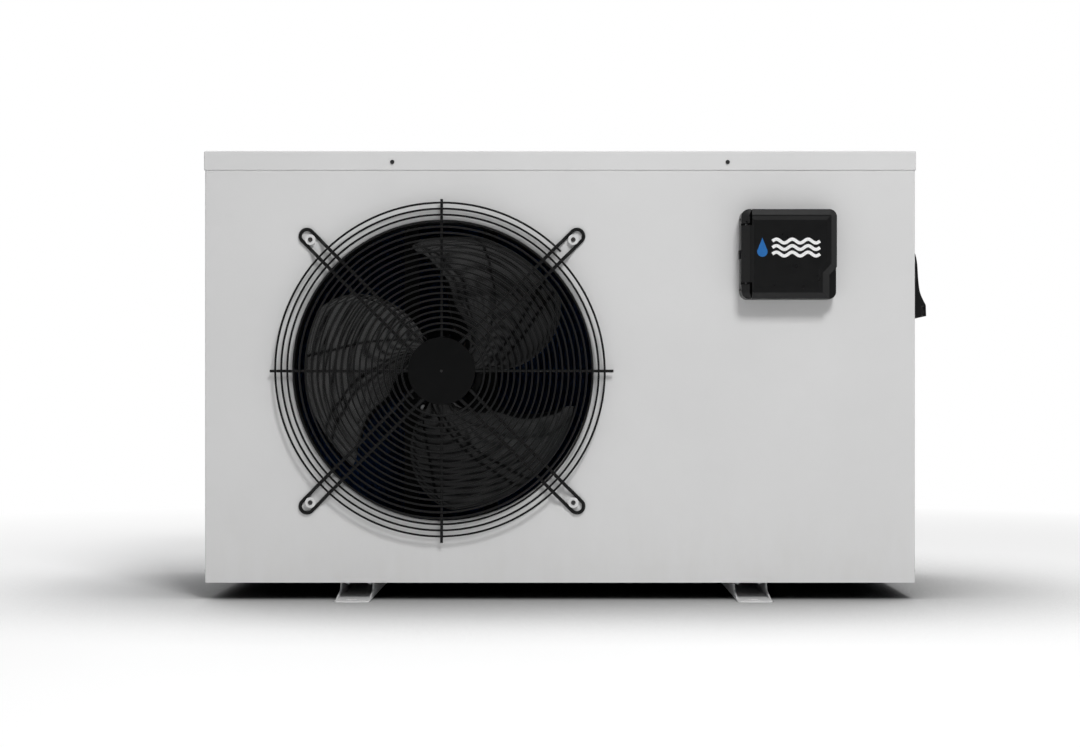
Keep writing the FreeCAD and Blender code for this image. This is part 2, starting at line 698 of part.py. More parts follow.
def coil_station(distance):
    """Centre-line point and outward direction of the L-shaped coil at a run length."""
    left_run = COIL_REAR_Y - COIL_BEND - COIL_FRONT_END
    bend_run = COIL_BEND * math.pi / 2
    if distance <= left_run:
        return Vector(COIL_LEFT_X, COIL_FRONT_END + distance, 0), Vector(-1, 0, 0)
    if distance <= left_run + bend_run:
        angle = (distance - left_run) / COIL_BEND
        outward = Vector(-math.cos(angle), math.sin(angle), 0)
        centre = Vector(COIL_LEFT_X + COIL_BEND, COIL_REAR_Y - COIL_BEND, 0)
        return centre + outward * COIL_BEND, outward
    along = distance - left_run - bend_run
    return Vector(COIL_LEFT_X + COIL_BEND + along, COIL_REAR_Y, 0), Vector(0, 1, 0)


def evaporator_fins():
    left_run = COIL_REAR_Y - COIL_BEND - COIL_FRONT_END
    total = left_run + COIL_BEND * math.pi / 2 + PARTITION_X - COIL_LEFT_X - COIL_BEND
    count = int(total // FIN_PITCH)
    pitch = total / count
    outer_points = []
    inner_points = []
    half = COIL_DEPTH / 2
    for index in range(count):
        start = index * pitch
        steps = (
            (start, half),
            (start + pitch / 2, half),
            (start + pitch / 2, half - FIN_GROOVE),
            (start + pitch, half - FIN_GROOVE),
        )
        for distance, reach in steps:
            point, outward = coil_station(distance)
            lifted = point + TO_TOP * BEAD_TOP
            outer_points.append(lifted + outward * reach)
            inner_points.append(lifted - outward * reach)
    inner_points.reverse()
    return prism(outer_points + inner_points, TO_TOP * (COIL_TOP - BEAD_TOP))


def coil_tube_sheets():
    reach = COIL_DEPTH / 2 + 4
    height = (BEAD_TOP, COIL_TOP)
    rear_end = slab((PARTITION_X, PARTITION_X + SHEET), (COIL_REAR_Y - reach, COIL_REAR_Y + reach), height)
    front_y = (COIL_FRONT_END - SHEET, COIL_FRONT_END)
    front_end = slab((COIL_LEFT_X - reach, COIL_LEFT_X + reach), front_y, height)
    return Part.makeCompound([rear_end, front_end])


def return_bend(first, outward):
    """Half-ring of coil tube from the given hole up to the next hole."""
    radius = TUBE_PITCH / 2
    stub = 5.0
    start = first + outward * stub
    section = Part.Face(Part.Wire(Part.makeCircle(TUBE_RADIUS, start, outward)))
    pivot = start + TO_TOP * radius
    axis = outward.cross(TO_TOP)
    bend = section.revolve(pivot, axis, -180)
    if (bend.CenterOfMass - start).dot(outward) < 0:
        bend = section.revolve(pivot, axis, 180)
    lower = rod(first, start, TUBE_RADIUS)
    upper = rod(first + TO_TOP * TUBE_PITCH, start + TO_TOP * TUBE_PITCH, TUBE_RADIUS)
    return joined([bend, lower, upper])


def return_bends():
    bends = []
    for row in (-TUBE_ROW, TUBE_ROW):
        for index in range(BENDS_PER_ROW):
            z = 45.0 + 2 * TUBE_PITCH * index
            bends.append(return_bend(Vector(PARTITION_X + SHEET, COIL_REAR_Y + row, z), TO_RIGHT))
            bends.append(return_bend(Vector(COIL_LEFT_X + row, COIL_FRONT_END - SHEET, z), TO_FRONT))
    return Part.makeCompound(bends)


# ---------------------------------------------------------------- fan and motor


def motor_bracket():
    post_depth = (MOTOR_BACK + SHEET, MOTOR_BACK + SHEET + 16)
    pieces = []
    for side in (-60.0, 60.0):
        x = FAN_X + side
        post = slab((x - 11, x + 11), post_depth, (FLOOR + SHEET, PANEL_TOP))
        hollow = slab((x - 9.5, x + 9.5), (post_depth[0] + 1.5, post_depth[1] + 1), (FLOOR, TOP))
        pieces.append(post.cut(hollow))
        foot = slab((x - 11, x + 11), (post_depth[0], post_depth[1] + 14), (FLOOR + SHEET, FLOOR + SHEET + 1.5))
        pieces.append(foot)
    for z in (FAN_Z - 52, FAN_Z + 52):
        pieces.append(slab((FAN_X - 72, FAN_X + 72), (MOTOR_BACK, MOTOR_BACK + SHEET), (z - 14, z + 14)))
    bracket = joined(pieces)
    holes = []
    for x, z in motor_bolt_points():
        holes.append(disc_y(x, z, 2.7, MOTOR_BACK - 5, MOTOR_BACK + 12))
    return bracket.cut(holes)


def motor_bolt_points():
    return [(FAN_X + side_x * 42, FAN_Z + side_z * 52) for side_x in (-1, 1) for side_z in (-1, 1)]


def fan_motor():
    body = disc_y(FAN_X, FAN_Z, MOTOR_RADIUS, MOTOR_FRONT, MOTOR_BACK)
    rims = [edge for edge in body.Edges if edge.Closed and edge.CenterOfMass.y < MOTOR_FRONT + 1]
    body = body.makeFillet(9.0, rims)
    nose = disc_y(FAN_X, FAN_Z, 20.0, MOTOR_FRONT - 8, MOTOR_FRONT + 1)
    pieces = [body, nose]
    for x, z in motor_bolt_points():
        pieces.append(disc_y(x, z, 8.0, MOTOR_BACK - 5, MOTOR_BACK))
    for x in (FAN_X - 42, FAN_X + 42):
        pieces.append(slab((x - 8, x + 8), (MOTOR_BACK - 5, MOTOR_BACK), (FAN_Z - 52, FAN_Z + 52)))
    for index in range(12):
        angle = math.radians(30 * index)
        ridge = slab((MOTOR_RADIUS - 2, MOTOR_RADIUS + 2.5), (MOTOR_FRONT + 14, MOTOR_BACK - 14), (-1.5, 1.5))
        ridge.rotate(Vector(0, 0, 0), TO_BACK, math.degrees(angle))
        ridge.translate(Vector(FAN_X, 0, FAN_Z))
        pieces.append(ridge)
    motor = joined(pieces)
    cuts = [disc_y(FAN_X, FAN_Z, SHAFT_RADIUS + 0.05, MOTOR_FRONT - 9, -38)]
    for x, z in motor_bolt_points():
        cuts.append(disc_y(x, z, 2.55, MOTOR_BACK - 6, MOTOR_BACK + 1))
    return motor.cut(cuts)


def motor_bolts():
    bolts = []
    seat = MOTOR_BACK - 5
    for x, z in motor_bolt_points():
        bolts.append(round_screw(Vector(x, seat, z), TO_BACK, 4.5, 3.2, 2.5, 14.0))
    return Part.makeCompound(bolts)


def motor_shaft():
    journal = disc_y(FAN_X, FAN_Z, SHAFT_RADIUS, HUB_FRONT, -40)
    thread = disc_y(FAN_X, FAN_Z, 4.0, HUB_FRONT - 11, HUB_FRONT)
    return joined([journal, thread])


def fan_nut():
    nut = polygon_y(FAN_X, FAN_Z, 7.5, 6, HUB_FRONT - 7, HUB_FRONT)
    return nut.cut(disc_y(FAN_X, FAN_Z, 4.02, HUB_FRONT - 8, HUB_FRONT + 1))


def smooth_between(values, position):
    """Smooth value through evenly spaced samples over position 0..1."""
    scaled = position * (len(values) - 1)
    index = min(int(scaled), len(values) - 2)
    part = scaled - index
    before = values[max(index - 1, 0)]
    start = values[index]
    end = values[index + 1]
    after = values[min(index + 2, len(values) - 1)]
    slope_start = (end - before) / 2
    slope_end = (after - start) / 2
    cube = part ** 3
    square = part ** 2
    return (
        start * (2 * cube - 3 * square + 1)
        + slope_start * (cube - 2 * square + part)
        + end * (3 * square - 2 * cube)
        + slope_end * (cube - square)
    )


def fan_blade(turn):
    """Forward-swept blade, one curved face thickened along the fan axis."""
    trailing_angles = (-120.0, -119.0, -113.5, -104.0, -92.0)
    leading_angles = (-38.0, -33.0, -30.0, -21.5, -13.0)
    root = HUB_RADIUS - 2
    rows = []
    for step_r in range(9):
        span = step_r / 8
        radius = root + (FAN_RADIUS - root) * span
        trailing = smooth_between(trailing_angles, span)
        leading = smooth_between(leading_angles, span)
        trailing_y = HUB_FRONT + 3 - 22 * span
        leading_y = HUB_BACK - 8 - 10 * span
        row = []
        for step_u in range(11):
            chord = step_u / 10
            angle = math.radians(trailing + (leading - trailing) * chord + turn)
            camber = 7.0 * math.sin(math.pi * chord)
            y = trailing_y + (leading_y - trailing_y) * chord - camber
            row.append(Vector(FAN_X + radius * math.cos(angle), y, FAN_Z + radius * math.sin(angle)))
        rows.append(row)
    surface = Part.BSplineSurface()
    surface.interpolate(rows)
    return surface.toShape().extrude(TO_BACK * BLADE_THICKNESS)


def fan():
    cup = disc_y(FAN_X, FAN_Z, HUB_RADIUS, HUB_FRONT, HUB_BACK)
    front_rim = [edge for edge in cup.Edges if edge.Closed and edge.CenterOfMass.y < HUB_FRONT + 1]
    cup = cup.makeFillet(4.0, front_rim)
    pieces = [cup]
    for index in range(BLADE_COUNT):
        pieces.append(fan_blade(360 * index / BLADE_COUNT))
    wheel = joined(pieces)
    wheel = wheel.cut(ring_y(FAN_X, FAN_Z, HUB_RADIUS - 3.5, 13.0, HUB_FRONT + 4, HUB_BACK + 10))
    ribs = []
    for index in range(6):
        rib = slab((12, HUB_RADIUS - 3), (HUB_FRONT + 3, HUB_BACK - 8), (-1.2, 1.2))
        rib.rotate(Vector(0, 0, 0), TO_BACK, 60 * index)
        rib.translate(Vector(FAN_X, 0, FAN_Z))
        ribs.append(rib)
    wheel = joined([wheel] + ribs)
    return wheel.cut(disc_y(FAN_X, FAN_Z, SHAFT_RADIUS + 0.02, HUB_FRONT - 1, HUB_BACK + 1))


# ---------------------------------------------------------------- fan guard


def guard_spiral():
    """One wire wound as half-circles whose radius drops by a quarter pitch on each side in turn."""
    start_angle = math.radians(45)
    outward = Vector(math.cos(start_angle), 0, math.sin(start_angle))
    centre = Vector(FAN_X, SPIRAL_Y, FAN_Z)
    start = centre + outward * SPIRAL_OUTER
    point = start
    edges = []
    for half_turn in range(SPIRAL_HALF_TURNS):
        radius = SPIRAL_OUTER - SPIRAL_PITCH / 4 - half_turn * SPIRAL_PITCH / 2
        arc_centre = point - outward * radius
        sideways = Vector(-outward.z, 0, outward.x)
        middle = arc_centre + sideways * radius
        end = arc_centre - outward * radius
        edges.append(Part.Arc(point, middle, end).toShape())
        point = end
        outward = outward * -1
    first_direction = Vector(-math.sin(start_angle), 0, math.cos(start_angle))
    section = Part.Wire(Part.makeCircle(SPIRAL_WIRE, start, first_direction))
    return Part.Wire(edges).makePipeShell([section], True, False)


def guard_radials():
    """Straight wires from the disc to just past the last turn of the spiral."""
    wires = []
    y = GUARD_BACK_Y + RADIAL_WIRE
    for quarter in range(4):
        angle = math.radians(90 * quarter)
        outward = Vector(math.cos(angle), 0, math.sin(angle))
        hub = Vector(FAN_X, y, FAN_Z)
        wires.append(rod(hub + outward * 26, hub + outward * RADIAL_END, RADIAL_WIRE))
    return wires


def guard_arm(angle_deg):
    """Hairpin wire: two legs from the disc, a step down to the panel and a closed loop round the screw."""
    angle = math.radians(angle_deg)
    outward = Vector(math.cos(angle), 0, math.sin(angle))
    sideways = Vector(-outward.z, 0, outward.x)
    hub = Vector(FAN_X, 0, FAN_Z)
    high_y = GUARD_BACK_Y + ARM_WIRE
    low_y = FRONT - ARM_WIRE
    stations = ((30.0, high_y), (239.0, high_y), (250.0, low_y), (ARM_LOOP_CENTRE, low_y))
    legs = []
    for side in (-1, 1):
        points = []
        for reach, y in stations:
            points.append(hub + outward * reach + sideways * (side * ARM_SPREAD) + TO_BACK * y)
        legs.append(points)
    near = bent_path(legs[0], ARM_BEND)
    far = bent_path(list(reversed(legs[1])), ARM_BEND)
    loop_top = hub + outward * (ARM_LOOP_CENTRE + ARM_SPREAD) + TO_BACK * low_y
    loop = Part.Arc(legs[0][-1], loop_top, legs[1][-1]).toShape()
    path = Part.Wire(near.Edges + [loop] + far.Edges)
    section = Part.Wire(Part.makeCircle(ARM_WIRE, legs[0][0], outward))
    return path.makePipeShell([section], True, False)


def guard_arms():
    arms = [guard_arm(angle) for angle in (45, 135, 225, 315)]
    return Part.makeCompound(arms + guard_radials())


def guard_disc():
    plate = disc_y(FAN_X, FAN_Z, DISC_RADIUS, GUARD_BACK_Y - 3, GUARD_BACK_Y)
    rim = [edge for edge in plate.Edges if edge.Closed and edge.CenterOfMass.y < GUARD_BACK_Y - 1]
    plate = plate.makeFillet(1.4, rim)
    return plate.cut(disc_y(FAN_X, FAN_Z, 2.0, GUARD_BACK_Y - 4, GUARD_BACK_Y - 1))


def guard_spacers():
    spacers = []
    shoulder = FRONT - 2 * ARM_WIRE - 0.2
    for x, z in guard_screw_points():
        body = disc_y(x, z, 6.8, shoulder, FRONT)
        cap = disc_y(x, z, 7.4, shoulder - 1, shoulder)
        spacers.append(joined([body, cap]).cut(disc_y(x, z, 1.8, shoulder - 2, FRONT + 1)))
    return Part.makeCompound(spacers)


def guard_screws():
    screws = []
    seat = FRONT - 2 * ARM_WIRE - 1.2
    for x, z in guard_screw_points():
        screws.append(round_screw(Vector(x, seat, z), TO_BACK, 3.2, 2.2, 1.75, 14.0))
    return Part.makeCompound(screws)


# ---------------------------------------------------------------- controller


def front_skin(inset, front_y, back_y):
    """Tray outline of the controller front: straight rim, then a bevel on all four sides."""
    corner = CONTROL_CORNER - inset
    x_range = (CONTROL_LEFT + inset, CONTROL_RIGHT - inset)
    z_range = (CONTROL_LOW + inset, CONTROL_HIGH - inset)
    inner_x = (x_range[0] + HINGE_BEVEL, x_range[1] - COVER_BEVEL)
    inner_z = (z_range[0] + COVER_BEVEL, z_range[1] - COVER_BEVEL)
    rim = rounded_block(x_range, z_range, (COVER_RIM, back_y), [corner] * 4)
    taper = rounded_taper((x_range, z_range), (inner_x, inner_z), [corner] * 4, [2.0] * 4, COVER_RIM, front_y)
    return joined([rim, taper])


def hinge_barrel(z_from, z_to):
    return rod(Vector(HINGE_X, HINGE_Y, z_from), Vector(HINGE_X, HINGE_Y, z_to), KNUCKLE_RADIUS)


def hinge_bore(radius):
    return rod(Vector(HINGE_X, HINGE_Y, CONTROL_LOW - 1), Vector(HINGE_X, HINGE_Y, CONTROL_HIGH + 1), radius)


def hinge_lug(z_from, z_to, slot_z):
    """Corner piece that continues the bevels of the cover and holds the hinge pin."""
    zone = slab((CONTROL_LEFT - 1, HINGE_X + KNUCKLE_RADIUS), (COVER_FRONT - 1, BASE_FRONT + 1), (z_from, z_to))
    lug = front_skin(0.0, COVER_FRONT, BASE_FRONT + 1).common(zone)
    swing_x = (CONTROL_LEFT - 5, HINGE_X + 20)
    swing = slab(swing_x, (COVER_FRONT - 5, HINGE_Y), (z_from - 1, z_to + 1))
    swing = swing.cut(hinge_barrel(z_from - 2, z_to + 2))
    release_slot = slab((HINGE_X - 1.6, HINGE_X + 1.5), (COVER_FRONT - 1, HINGE_Y - 3), slot_z)
    return lug.cut([swing, release_slot])


def side_catches():
    """Small hooks on the hinge side of the base."""
    catches = [slab((CONTROL_LEFT - 2, CONTROL_LEFT + 1), (BASE_FRONT + 4, FRONT - 6), (CONTROL_Z - 6, CONTROL_Z + 6))]
    for z in (CONTROL_Z - 49, CONTROL_Z + 49):
        catches.append(slab((CONTROL_LEFT - 1.2, CONTROL_LEFT + 1), (BASE_FRONT + 4, FRONT - 6), (z - 1.5, z + 1.5)))
    return catches


def centred_on_controller(half_width, y_range, z_offsets):
    x_range = (CONTROL_X - half_width, CONTROL_X + half_width)
    return slab(x_range, y_range, (CONTROL_Z + z_offsets[0], CONTROL_Z + z_offsets[1]))


def controller_base():
    wall = CONTROL_WALL
    x_range = (CONTROL_LEFT, CONTROL_RIGHT)
    z_range = (CONTROL_LOW, CONTROL_HIGH)
    shell = rounded_block(x_range, z_range, (BASE_FRONT, FRONT), [CONTROL_CORNER] * 4)
    cavity_x = (CONTROL_LEFT + wall, CONTROL_RIGHT - wall)
    cavity_z = (CONTROL_LOW + wall, CONTROL_HIGH - wall)
    cavity = rounded_block(cavity_x, cavity_z, (BASE_FRONT + wall, FRONT - wall), [CONTROL_CORNER - wall] * 4)
    half_height = NECK_HALF_HEIGHT
    neck = centred_on_controller(NECK_HALF_WIDTH, (FRONT - wall, FRONT + 20), (-half_height, half_height))
    shell = joined([shell.cut(cavity), neck])
    bore_height = half_height - wall
    bore_y = (FRONT - wall - 0.5, FRONT + 21)
    shell = shell.cut(centred_on_controller(NECK_HALF_WIDTH - wall, bore_y, (-bore_height, bore_height)))
    lug_start = KNUCKLE_HALF + KNUCKLE_GAP
    slot_end = lug_start + 3.5
    upper_slot = (CONTROL_Z + lug_start - 1, CONTROL_Z + slot_end)
    lower_slot = (CONTROL_Z - lug_start - 1, CONTROL_Z - slot_end + 4.5)
    upper_lug = hinge_lug(CONTROL_Z + lug_start, CONTROL_HIGH + 1, upper_slot)
    lower_lug = hinge_lug(CONTROL_LOW - 1, CONTROL_Z - lug_start, lower_slot)
    shell = joined([shell, upper_lug, lower_lug] + side_catches())
    cuts = [hinge_bore(HINGE_PIN_RADIUS + 0.02)]
    front_wall = (BASE_FRONT - 1, BASE_FRONT + wall + 1)
    for x in BUTTON_X.values():
        cuts.append(disc_y(x, BUTTON_Z, BUTTON_RADIUS + 0.07, front_wall[0], front_wall[1]))
    cuts.append(lens_block(0.05))
    cuts.append(centred_on_controller(28.0, front_wall, (10.0, 28.0)))
    return shell.cut(cuts)


def lens_block(clearance):
    half_width = 35.0 + clearance
    return centred_on_controller(half_width, (BASE_FRONT, BASE_FRONT + LENS_THICKNESS), (1 - clearance, 37 + clearance))


def display_lens():
    lens = lens_block(0.0)
    corners = [edge for edge in lens.Edges if abs(edge.Length - LENS_THICKNESS) < 0.01]
    return lens.makeFillet(2.0, corners)


def controller_board():
    board_y = BASE_FRONT + 7.0
    board_x = (CONTROL_LEFT + 8, CONTROL_RIGHT - 8)
    board = slab(board_x, (board_y, board_y + 1.6), (CONTROL_LOW + 12, CONTROL_HIGH - 12))
    display = centred_on_controller(31.0, (BASE_FRONT + 3.0, board_y), (5.0, 33.0))
    pieces = [board, display]
    for x in BUTTON_X.values():
        pieces.append(slab((x - 3, x + 3), (board_y - 1.2, board_y), (BUTTON_Z - 3, BUTTON_Z + 3)))
    for x in (CONTROL_X - 48, CONTROL_X + 48):
        pieces.append(disc_y(x, CONTROL_Z, 3.0, board_y, FRONT - CONTROL_WALL))
    return joined(pieces)


def push_button(x):
    cap = disc_y(x, BUTTON_Z, BUTTON_RADIUS, BASE_FRONT - 2.2, BASE_FRONT + CONTROL_WALL + 0.05)
    rim = [edge for edge in cap.Edges if edge.Closed and edge.CenterOfMass.y < BASE_FRONT - 1]
    cap = cap.makeFillet(0.8, rim)
    flange_y = BASE_FRONT + CONTROL_WALL + 0.05
    flange = disc_y(x, BUTTON_Z, BUTTON_RADIUS + 1.3, flange_y, flange_y + 1.2)
    return joined([cap, flange])


def from_low_right(y, corners):
    """Points given as distance in from the right side and up from the low side of the controller."""
    return [Vector(CONTROL_RIGHT - inward, y, CONTROL_LOW + up) for inward, up in corners]


def sloped_cut(front_y, front_corners, back_y, back_corners):
    wires = []
    for y, corners in ((front_y, front_corners), (back_y, back_corners)):
        points = from_low_right(y, corners)
        wires.append(Part.makePolygon(points + [points[0]]))
    return Part.makeLoft(wires, True, True)


def finger_notch(wall):
    """Cut at the low right corner, with the bevel of the other sides, to lift the cover by."""
    side = 10.5 + wall
    slope_side = side + 10.5
    front = [(-10, -10), (slope_side, -10), (slope_side, 36 + wall), (9, 48.5 + wall), (-10, 68.3 + wall)]
    rim = [(-10, -10), (side, -10), (side, 33.5 + wall), (0, 44.5 + wall), (-10, 55 + wall)]
    bevel = sloped_cut(COVER_FRONT - 0.3 + wall, front, COVER_RIM, rim)
    outline = from_low_right(COVER_RIM, rim)
    return bevel.fuse(prism(outline, TO_BACK * (COVER_BACK + 2 - COVER_RIM)))


def cover_panel_recess():
    """Shallow field on the cover front whose sloped edge follows the finger notch."""
    high = CONTROL_HEIGHT
    far = CONTROL_WIDTH
    front = [(22.5, 10.5), (far - 12.8, 10.5), (far - 12.8, high - 10), (10, high - 10), (10, 50), (22.5, 37.5)]
    deep = [(26, 15.5), (far - 17, 15.5), (far - 17, high - 15.5), (14.5, high - 15.5), (14.5, 52), (26, 40)]
    return sloped_cut(COVER_FRONT - 0.01, front, COVER_FRONT + 1.1, deep)


def controller_cover():
    skin = front_skin(0.0, COVER_FRONT, COVER_BACK)
    hollow = front_skin(CONTROL_WALL, COVER_FRONT + CONTROL_WALL, COVER_BACK + 1)
    cover = skin.cut(finger_notch(0.0)).cut(hollow.cut(finger_notch(CONTROL_WALL)))
    low = CONTROL_Z - KNUCKLE_HALF
    high = CONTROL_Z + KNUCKLE_HALF
    depth = (COVER_FRONT - 2, COVER_BACK + 2)
    outside_swing = slab((CONTROL_LEFT - 5, HINGE_X), depth, (CONTROL_LOW - 1, CONTROL_HIGH + 1))
    cover = cover.cut(outside_swing.cut(hinge_barrel(CONTROL_LOW - 2, CONTROL_HIGH + 2)))
    cover = joined([cover, hinge_barrel(low, high).common(skin)])
    lug_x = (CONTROL_LEFT - 5, HINGE_X + KNUCKLE_RADIUS + 0.7)
    cuts = [
        slab(lug_x, depth, (CONTROL_LOW - 2, low)),
        slab(lug_x, depth, (high, CONTROL_HIGH + 2)),
        hinge_bore(HINGE_PIN_RADIUS + 0.06),
        cover_panel_recess(),
    ]
    return cover.cut(cuts)


def cover_hinge_pins():
    reach = 14.0
    end_gap = 3.6
    upper = (CONTROL_Z + KNUCKLE_HALF - reach, CONTROL_HIGH - end_gap)
    lower = (CONTROL_LOW + end_gap, CONTROL_Z - KNUCKLE_HALF + reach)
    pins = []
    for z_from, z_to in (upper, lower):
        pins.append(rod(Vector(HINGE_X, HINGE_Y, z_from), Vector(HINGE_X, HINGE_Y, z_to), HINGE_PIN_RADIUS))
    return Part.makeCompound(pins)


# ---------------------------------------------------------------- side handle


def handle_screw_points():
    return [(HANDLE_Y + side * 72, z) for side in (-1, 1) for z in (HANDLE_LOW + 8, HANDLE_TOP - 8)]


def scoop_body(inset, drop):
    """Hood with an open underside: a slim back that flares out to a square lip."""
    half = HANDLE_WIDTH / 2 - inset
    y = HANDLE_Y - half

    def at(reach, height):
        return Vector(RIGHT + max(reach - inset, 0.0), y, height)

    flare = [
        at(31.3, 419.0 - inset),
        at(27.2, 427.0 - inset),
        at(23.6, 435.5 - inset),
        at(21.2, 448.0 - inset),
        at(19.8, 465.0 - inset),
        at(18.2, 484.0 - inset),
        at(13.0, 500.0 - inset),
    ]
    curve = Part.BSplineCurve()
    curve.interpolate(flare)
    wall_foot = Vector(RIGHT, y, HANDLE_LOW - 4.0 - drop)
    lip_foot = at(31.9, HANDLE_LOW - drop)
    crown = at(3.0, HANDLE_TOP - 2.0 - inset)
    wall_top = Vector(RIGHT, y, HANDLE_TOP - 2.0 - inset)
    edges = [
        Part.makeLine(wall_foot, lip_foot),
        Part.makeLine(lip_foot, flare[0]),
        curve.toShape(),
        Part.makeLine(flare[-1], crown),
        Part.makeLine(crown, wall_top),
        Part.makeLine(wall_top, wall_foot),
    ]
    return Part.Face(Part.Wire(edges)).extrude(TO_BACK * 2 * half)


def side_handle():
    plate = slab(
        (RIGHT, RIGHT + 2.0),
        (HANDLE_Y - HANDLE_WIDTH / 2 - 14, HANDLE_Y + HANDLE_WIDTH / 2 + 14),
        (HANDLE_LOW - 4.0, HANDLE_TOP),
    )
    corners = [edge for edge in plate.Edges if abs(edge.Length - 2.0) < 0.01]
    plate = plate.makeFillet(8.0, corners)
    handle = joined([plate, scoop_body(0.0, 0.0)])
    front_end = HANDLE_Y - HANDLE_WIDTH / 2
    cuts = [scoop_body(HANDLE_WALL, 5.0)]
    cuts.append(slab((RIGHT + 25.0, RIGHT + 30.0), (front_end - 1, front_end + 4), (HANDLE_LOW - 6, HANDLE_LOW + 15)))
    for y, z in handle_screw_points():
        cuts.append(rod(Vector(RIGHT - 1, y, z), Vector(RIGHT + 5, y, z), 1.8))
    return handle.cut(cuts)


# ---------------------------------------------------------------- compressor set


def compressor_feet():
    feet = []
    for angle_deg in (30, 150, 270):
        angle = math.radians(angle_deg)
        feet.append((COMPRESSOR_X + 95 * math.cos(angle), COMPRESSOR_Y + 95 * math.sin(angle)))
    return feet


def domed_vessel(x, y, radius, z_from, z_to, dome):
    """Drawn steel shell with elliptical heads."""
    tall = rod(Vector(x, y, z_from), Vector(x, y, z_to), radius)
    rims = [edge for edge in tall.Edges if edge.Closed]
    return tall.makeFillet(dome, rims)


def compressor():
    shell = domed_vessel(COMPRESSOR_X, COMPRESSOR_Y, COMPRESSOR_RADIUS, 56, 310, 26)
    plate = rod(Vector(COMPRESSOR_X, COMPRESSOR_Y, 52), Vector(COMPRESSOR_X, COMPRESSOR_Y, 60), 56)
    pieces = [shell, plate]
    centre = Vector(COMPRESSOR_X, COMPRESSOR_Y, 52)
    for x, y in compressor_feet():
        foot = Vector(x, y, 52)
        along = (foot - centre).normalize()
        across = Vector(-along.y, along.x, 0)
        corners = [centre + along * 30 - across * 30, foot - across * 15, foot + across * 15]
        corners.append(centre + along * 30 + across * 30)
        pieces.append(prism(corners, TO_TOP * 4))
        pieces.append(rod(foot, foot + TO_TOP * 4, 15))
    weld = rod(Vector(COMPRESSOR_X, COMPRESSOR_Y, 262), Vector(COMPRESSOR_X, COMPRESSOR_Y, 268), 63.5)
    stub = rod(Vector(COMPRESSOR_X, COMPRESSOR_Y + 25, 300), Vector(COMPRESSOR_X, COMPRESSOR_Y + 25, 322), 6.5)
    pieces += [weld, stub]
    body = joined(pieces)
    holes = []
    for x, y in compressor_feet():
        holes.append(rod(Vector(x, y, 50), Vector(x, y, 60), 8.0))
    return body.cut(holes)


def compressor_grommets():
    """Rubber mounts: a wide foot under each ear and a neck through it."""
    grommets = []
    for x, y in compressor_feet():
        foot = rod(Vector(x, y, FLOOR + SHEET), Vector(x, y, 52), 14.0)
        neck = rod(Vector(x, y, 52), Vector(x, y, 56), 7.9)
        cap = rod(Vector(x, y, 56), Vector(x, y, 60), 12.0)
        bore = rod(Vector(x, y, FLOOR), Vector(x, y, 62), 4.15)
        grommets.append(joined([foot, neck, cap]).cut(bore))
    return Part.makeCompound(grommets)


def compressor_bolts():
    bolts = []
    for x, y in compressor_feet():
        washer = rod(Vector(x, y, 60), Vector(x, y, 61.6), 10.0)
        head = hexagon_z(x, y, 61.6, 13.0, 5.5)
        shank = rod(Vector(x, y, FLOOR), Vector(x, y, 61), 4.0)
        bolts.append(joined([washer, head, shank]))
    return Part.makeCompound(bolts)


def terminal_cover():
    cap = slab(
        (COMPRESSOR_X - 22, COMPRESSOR_X + 22),
        (COMPRESSOR_Y - 32, COMPRESSOR_Y + 12),
        (310, 332),
    )
    upper = [edge for edge in cap.Edges if edge.CenterOfMass.z > 311]
    return cap.makeFillet(5.0, upper)


def accumulator():
    vessel = domed_vessel(ACCUMULATOR_X, ACCUMULATOR_Y, ACCUMULATOR_RADIUS, 95, 265, 16)
    top = Vector(ACCUMULATOR_X, ACCUMULATOR_Y, 260)
    stub = rod(top, top + TO_TOP * 15, 7.5)
    toward = (Vector(COMPRESSOR_X, COMPRESSOR_Y, 0) - Vector(ACCUMULATOR_X, ACCUMULATOR_Y, 0)).normalize()
    side = Vector(-toward.y, toward.x, 0)
    vessel_centre = Vector(ACCUMULATOR_X, ACCUMULATOR_Y, 170)
    gap_end = vessel_centre + toward * (107.35 - COMPRESSOR_RADIUS - 0.3)
    strap_start = vessel_centre + toward * (ACCUMULATOR_RADIUS - 4)
    strap = prism(
        [strap_start - side * 12, gap_end - side * 12, gap_end + side * 12, strap_start + side * 12],
        TO_TOP * 24,
    )
    shell_gap = rod(
        Vector(COMPRESSOR_X, COMPRESSOR_Y, 160),
        Vector(COMPRESSOR_X, COMPRESSOR_Y, 200),
        COMPRESSOR_RADIUS + 0.1,
    )
    return joined([vessel, stub, strap]).cut(shell_gap)


def four_way_valve():
    body = rod(Vector(COMPRESSOR_X - 45, VALVE_Y, VALVE_Z), Vector(COMPRESSOR_X + 45, VALVE_Y, VALVE_Z), 14)
    pieces = [body]
    for offset in (-24, 0, 24):
        top = Vector(COMPRESSOR_X + offset, VALVE_Y, VALVE_Z)
        pieces.append(rod(top, top + TO_TOP * 30, 7.5))
    bottom = Vector(COMPRESSOR_X, VALVE_Y, VALVE_Z)
    pieces.append(rod(bottom, bottom - TO_TOP * 30, 6.5))
    pilot_y = VALVE_Y - 26
    pilot = rod(Vector(COMPRESSOR_X - 35, pilot_y, VALVE_Z), Vector(COMPRESSOR_X + 5, pilot_y, VALVE_Z), 5)
    coil = slab((COMPRESSOR_X + 5, COMPRESSOR_X + 40), (pilot_y - 14, pilot_y + 11), (VALVE_Z - 14, VALVE_Z + 14))
    link = slab((COMPRESSOR_X - 20, COMPRESSOR_X - 10), (pilot_y, VALVE_Y), (VALVE_Z - 2, VALVE_Z + 2))
    return joined(pieces + [pilot, coil, link])


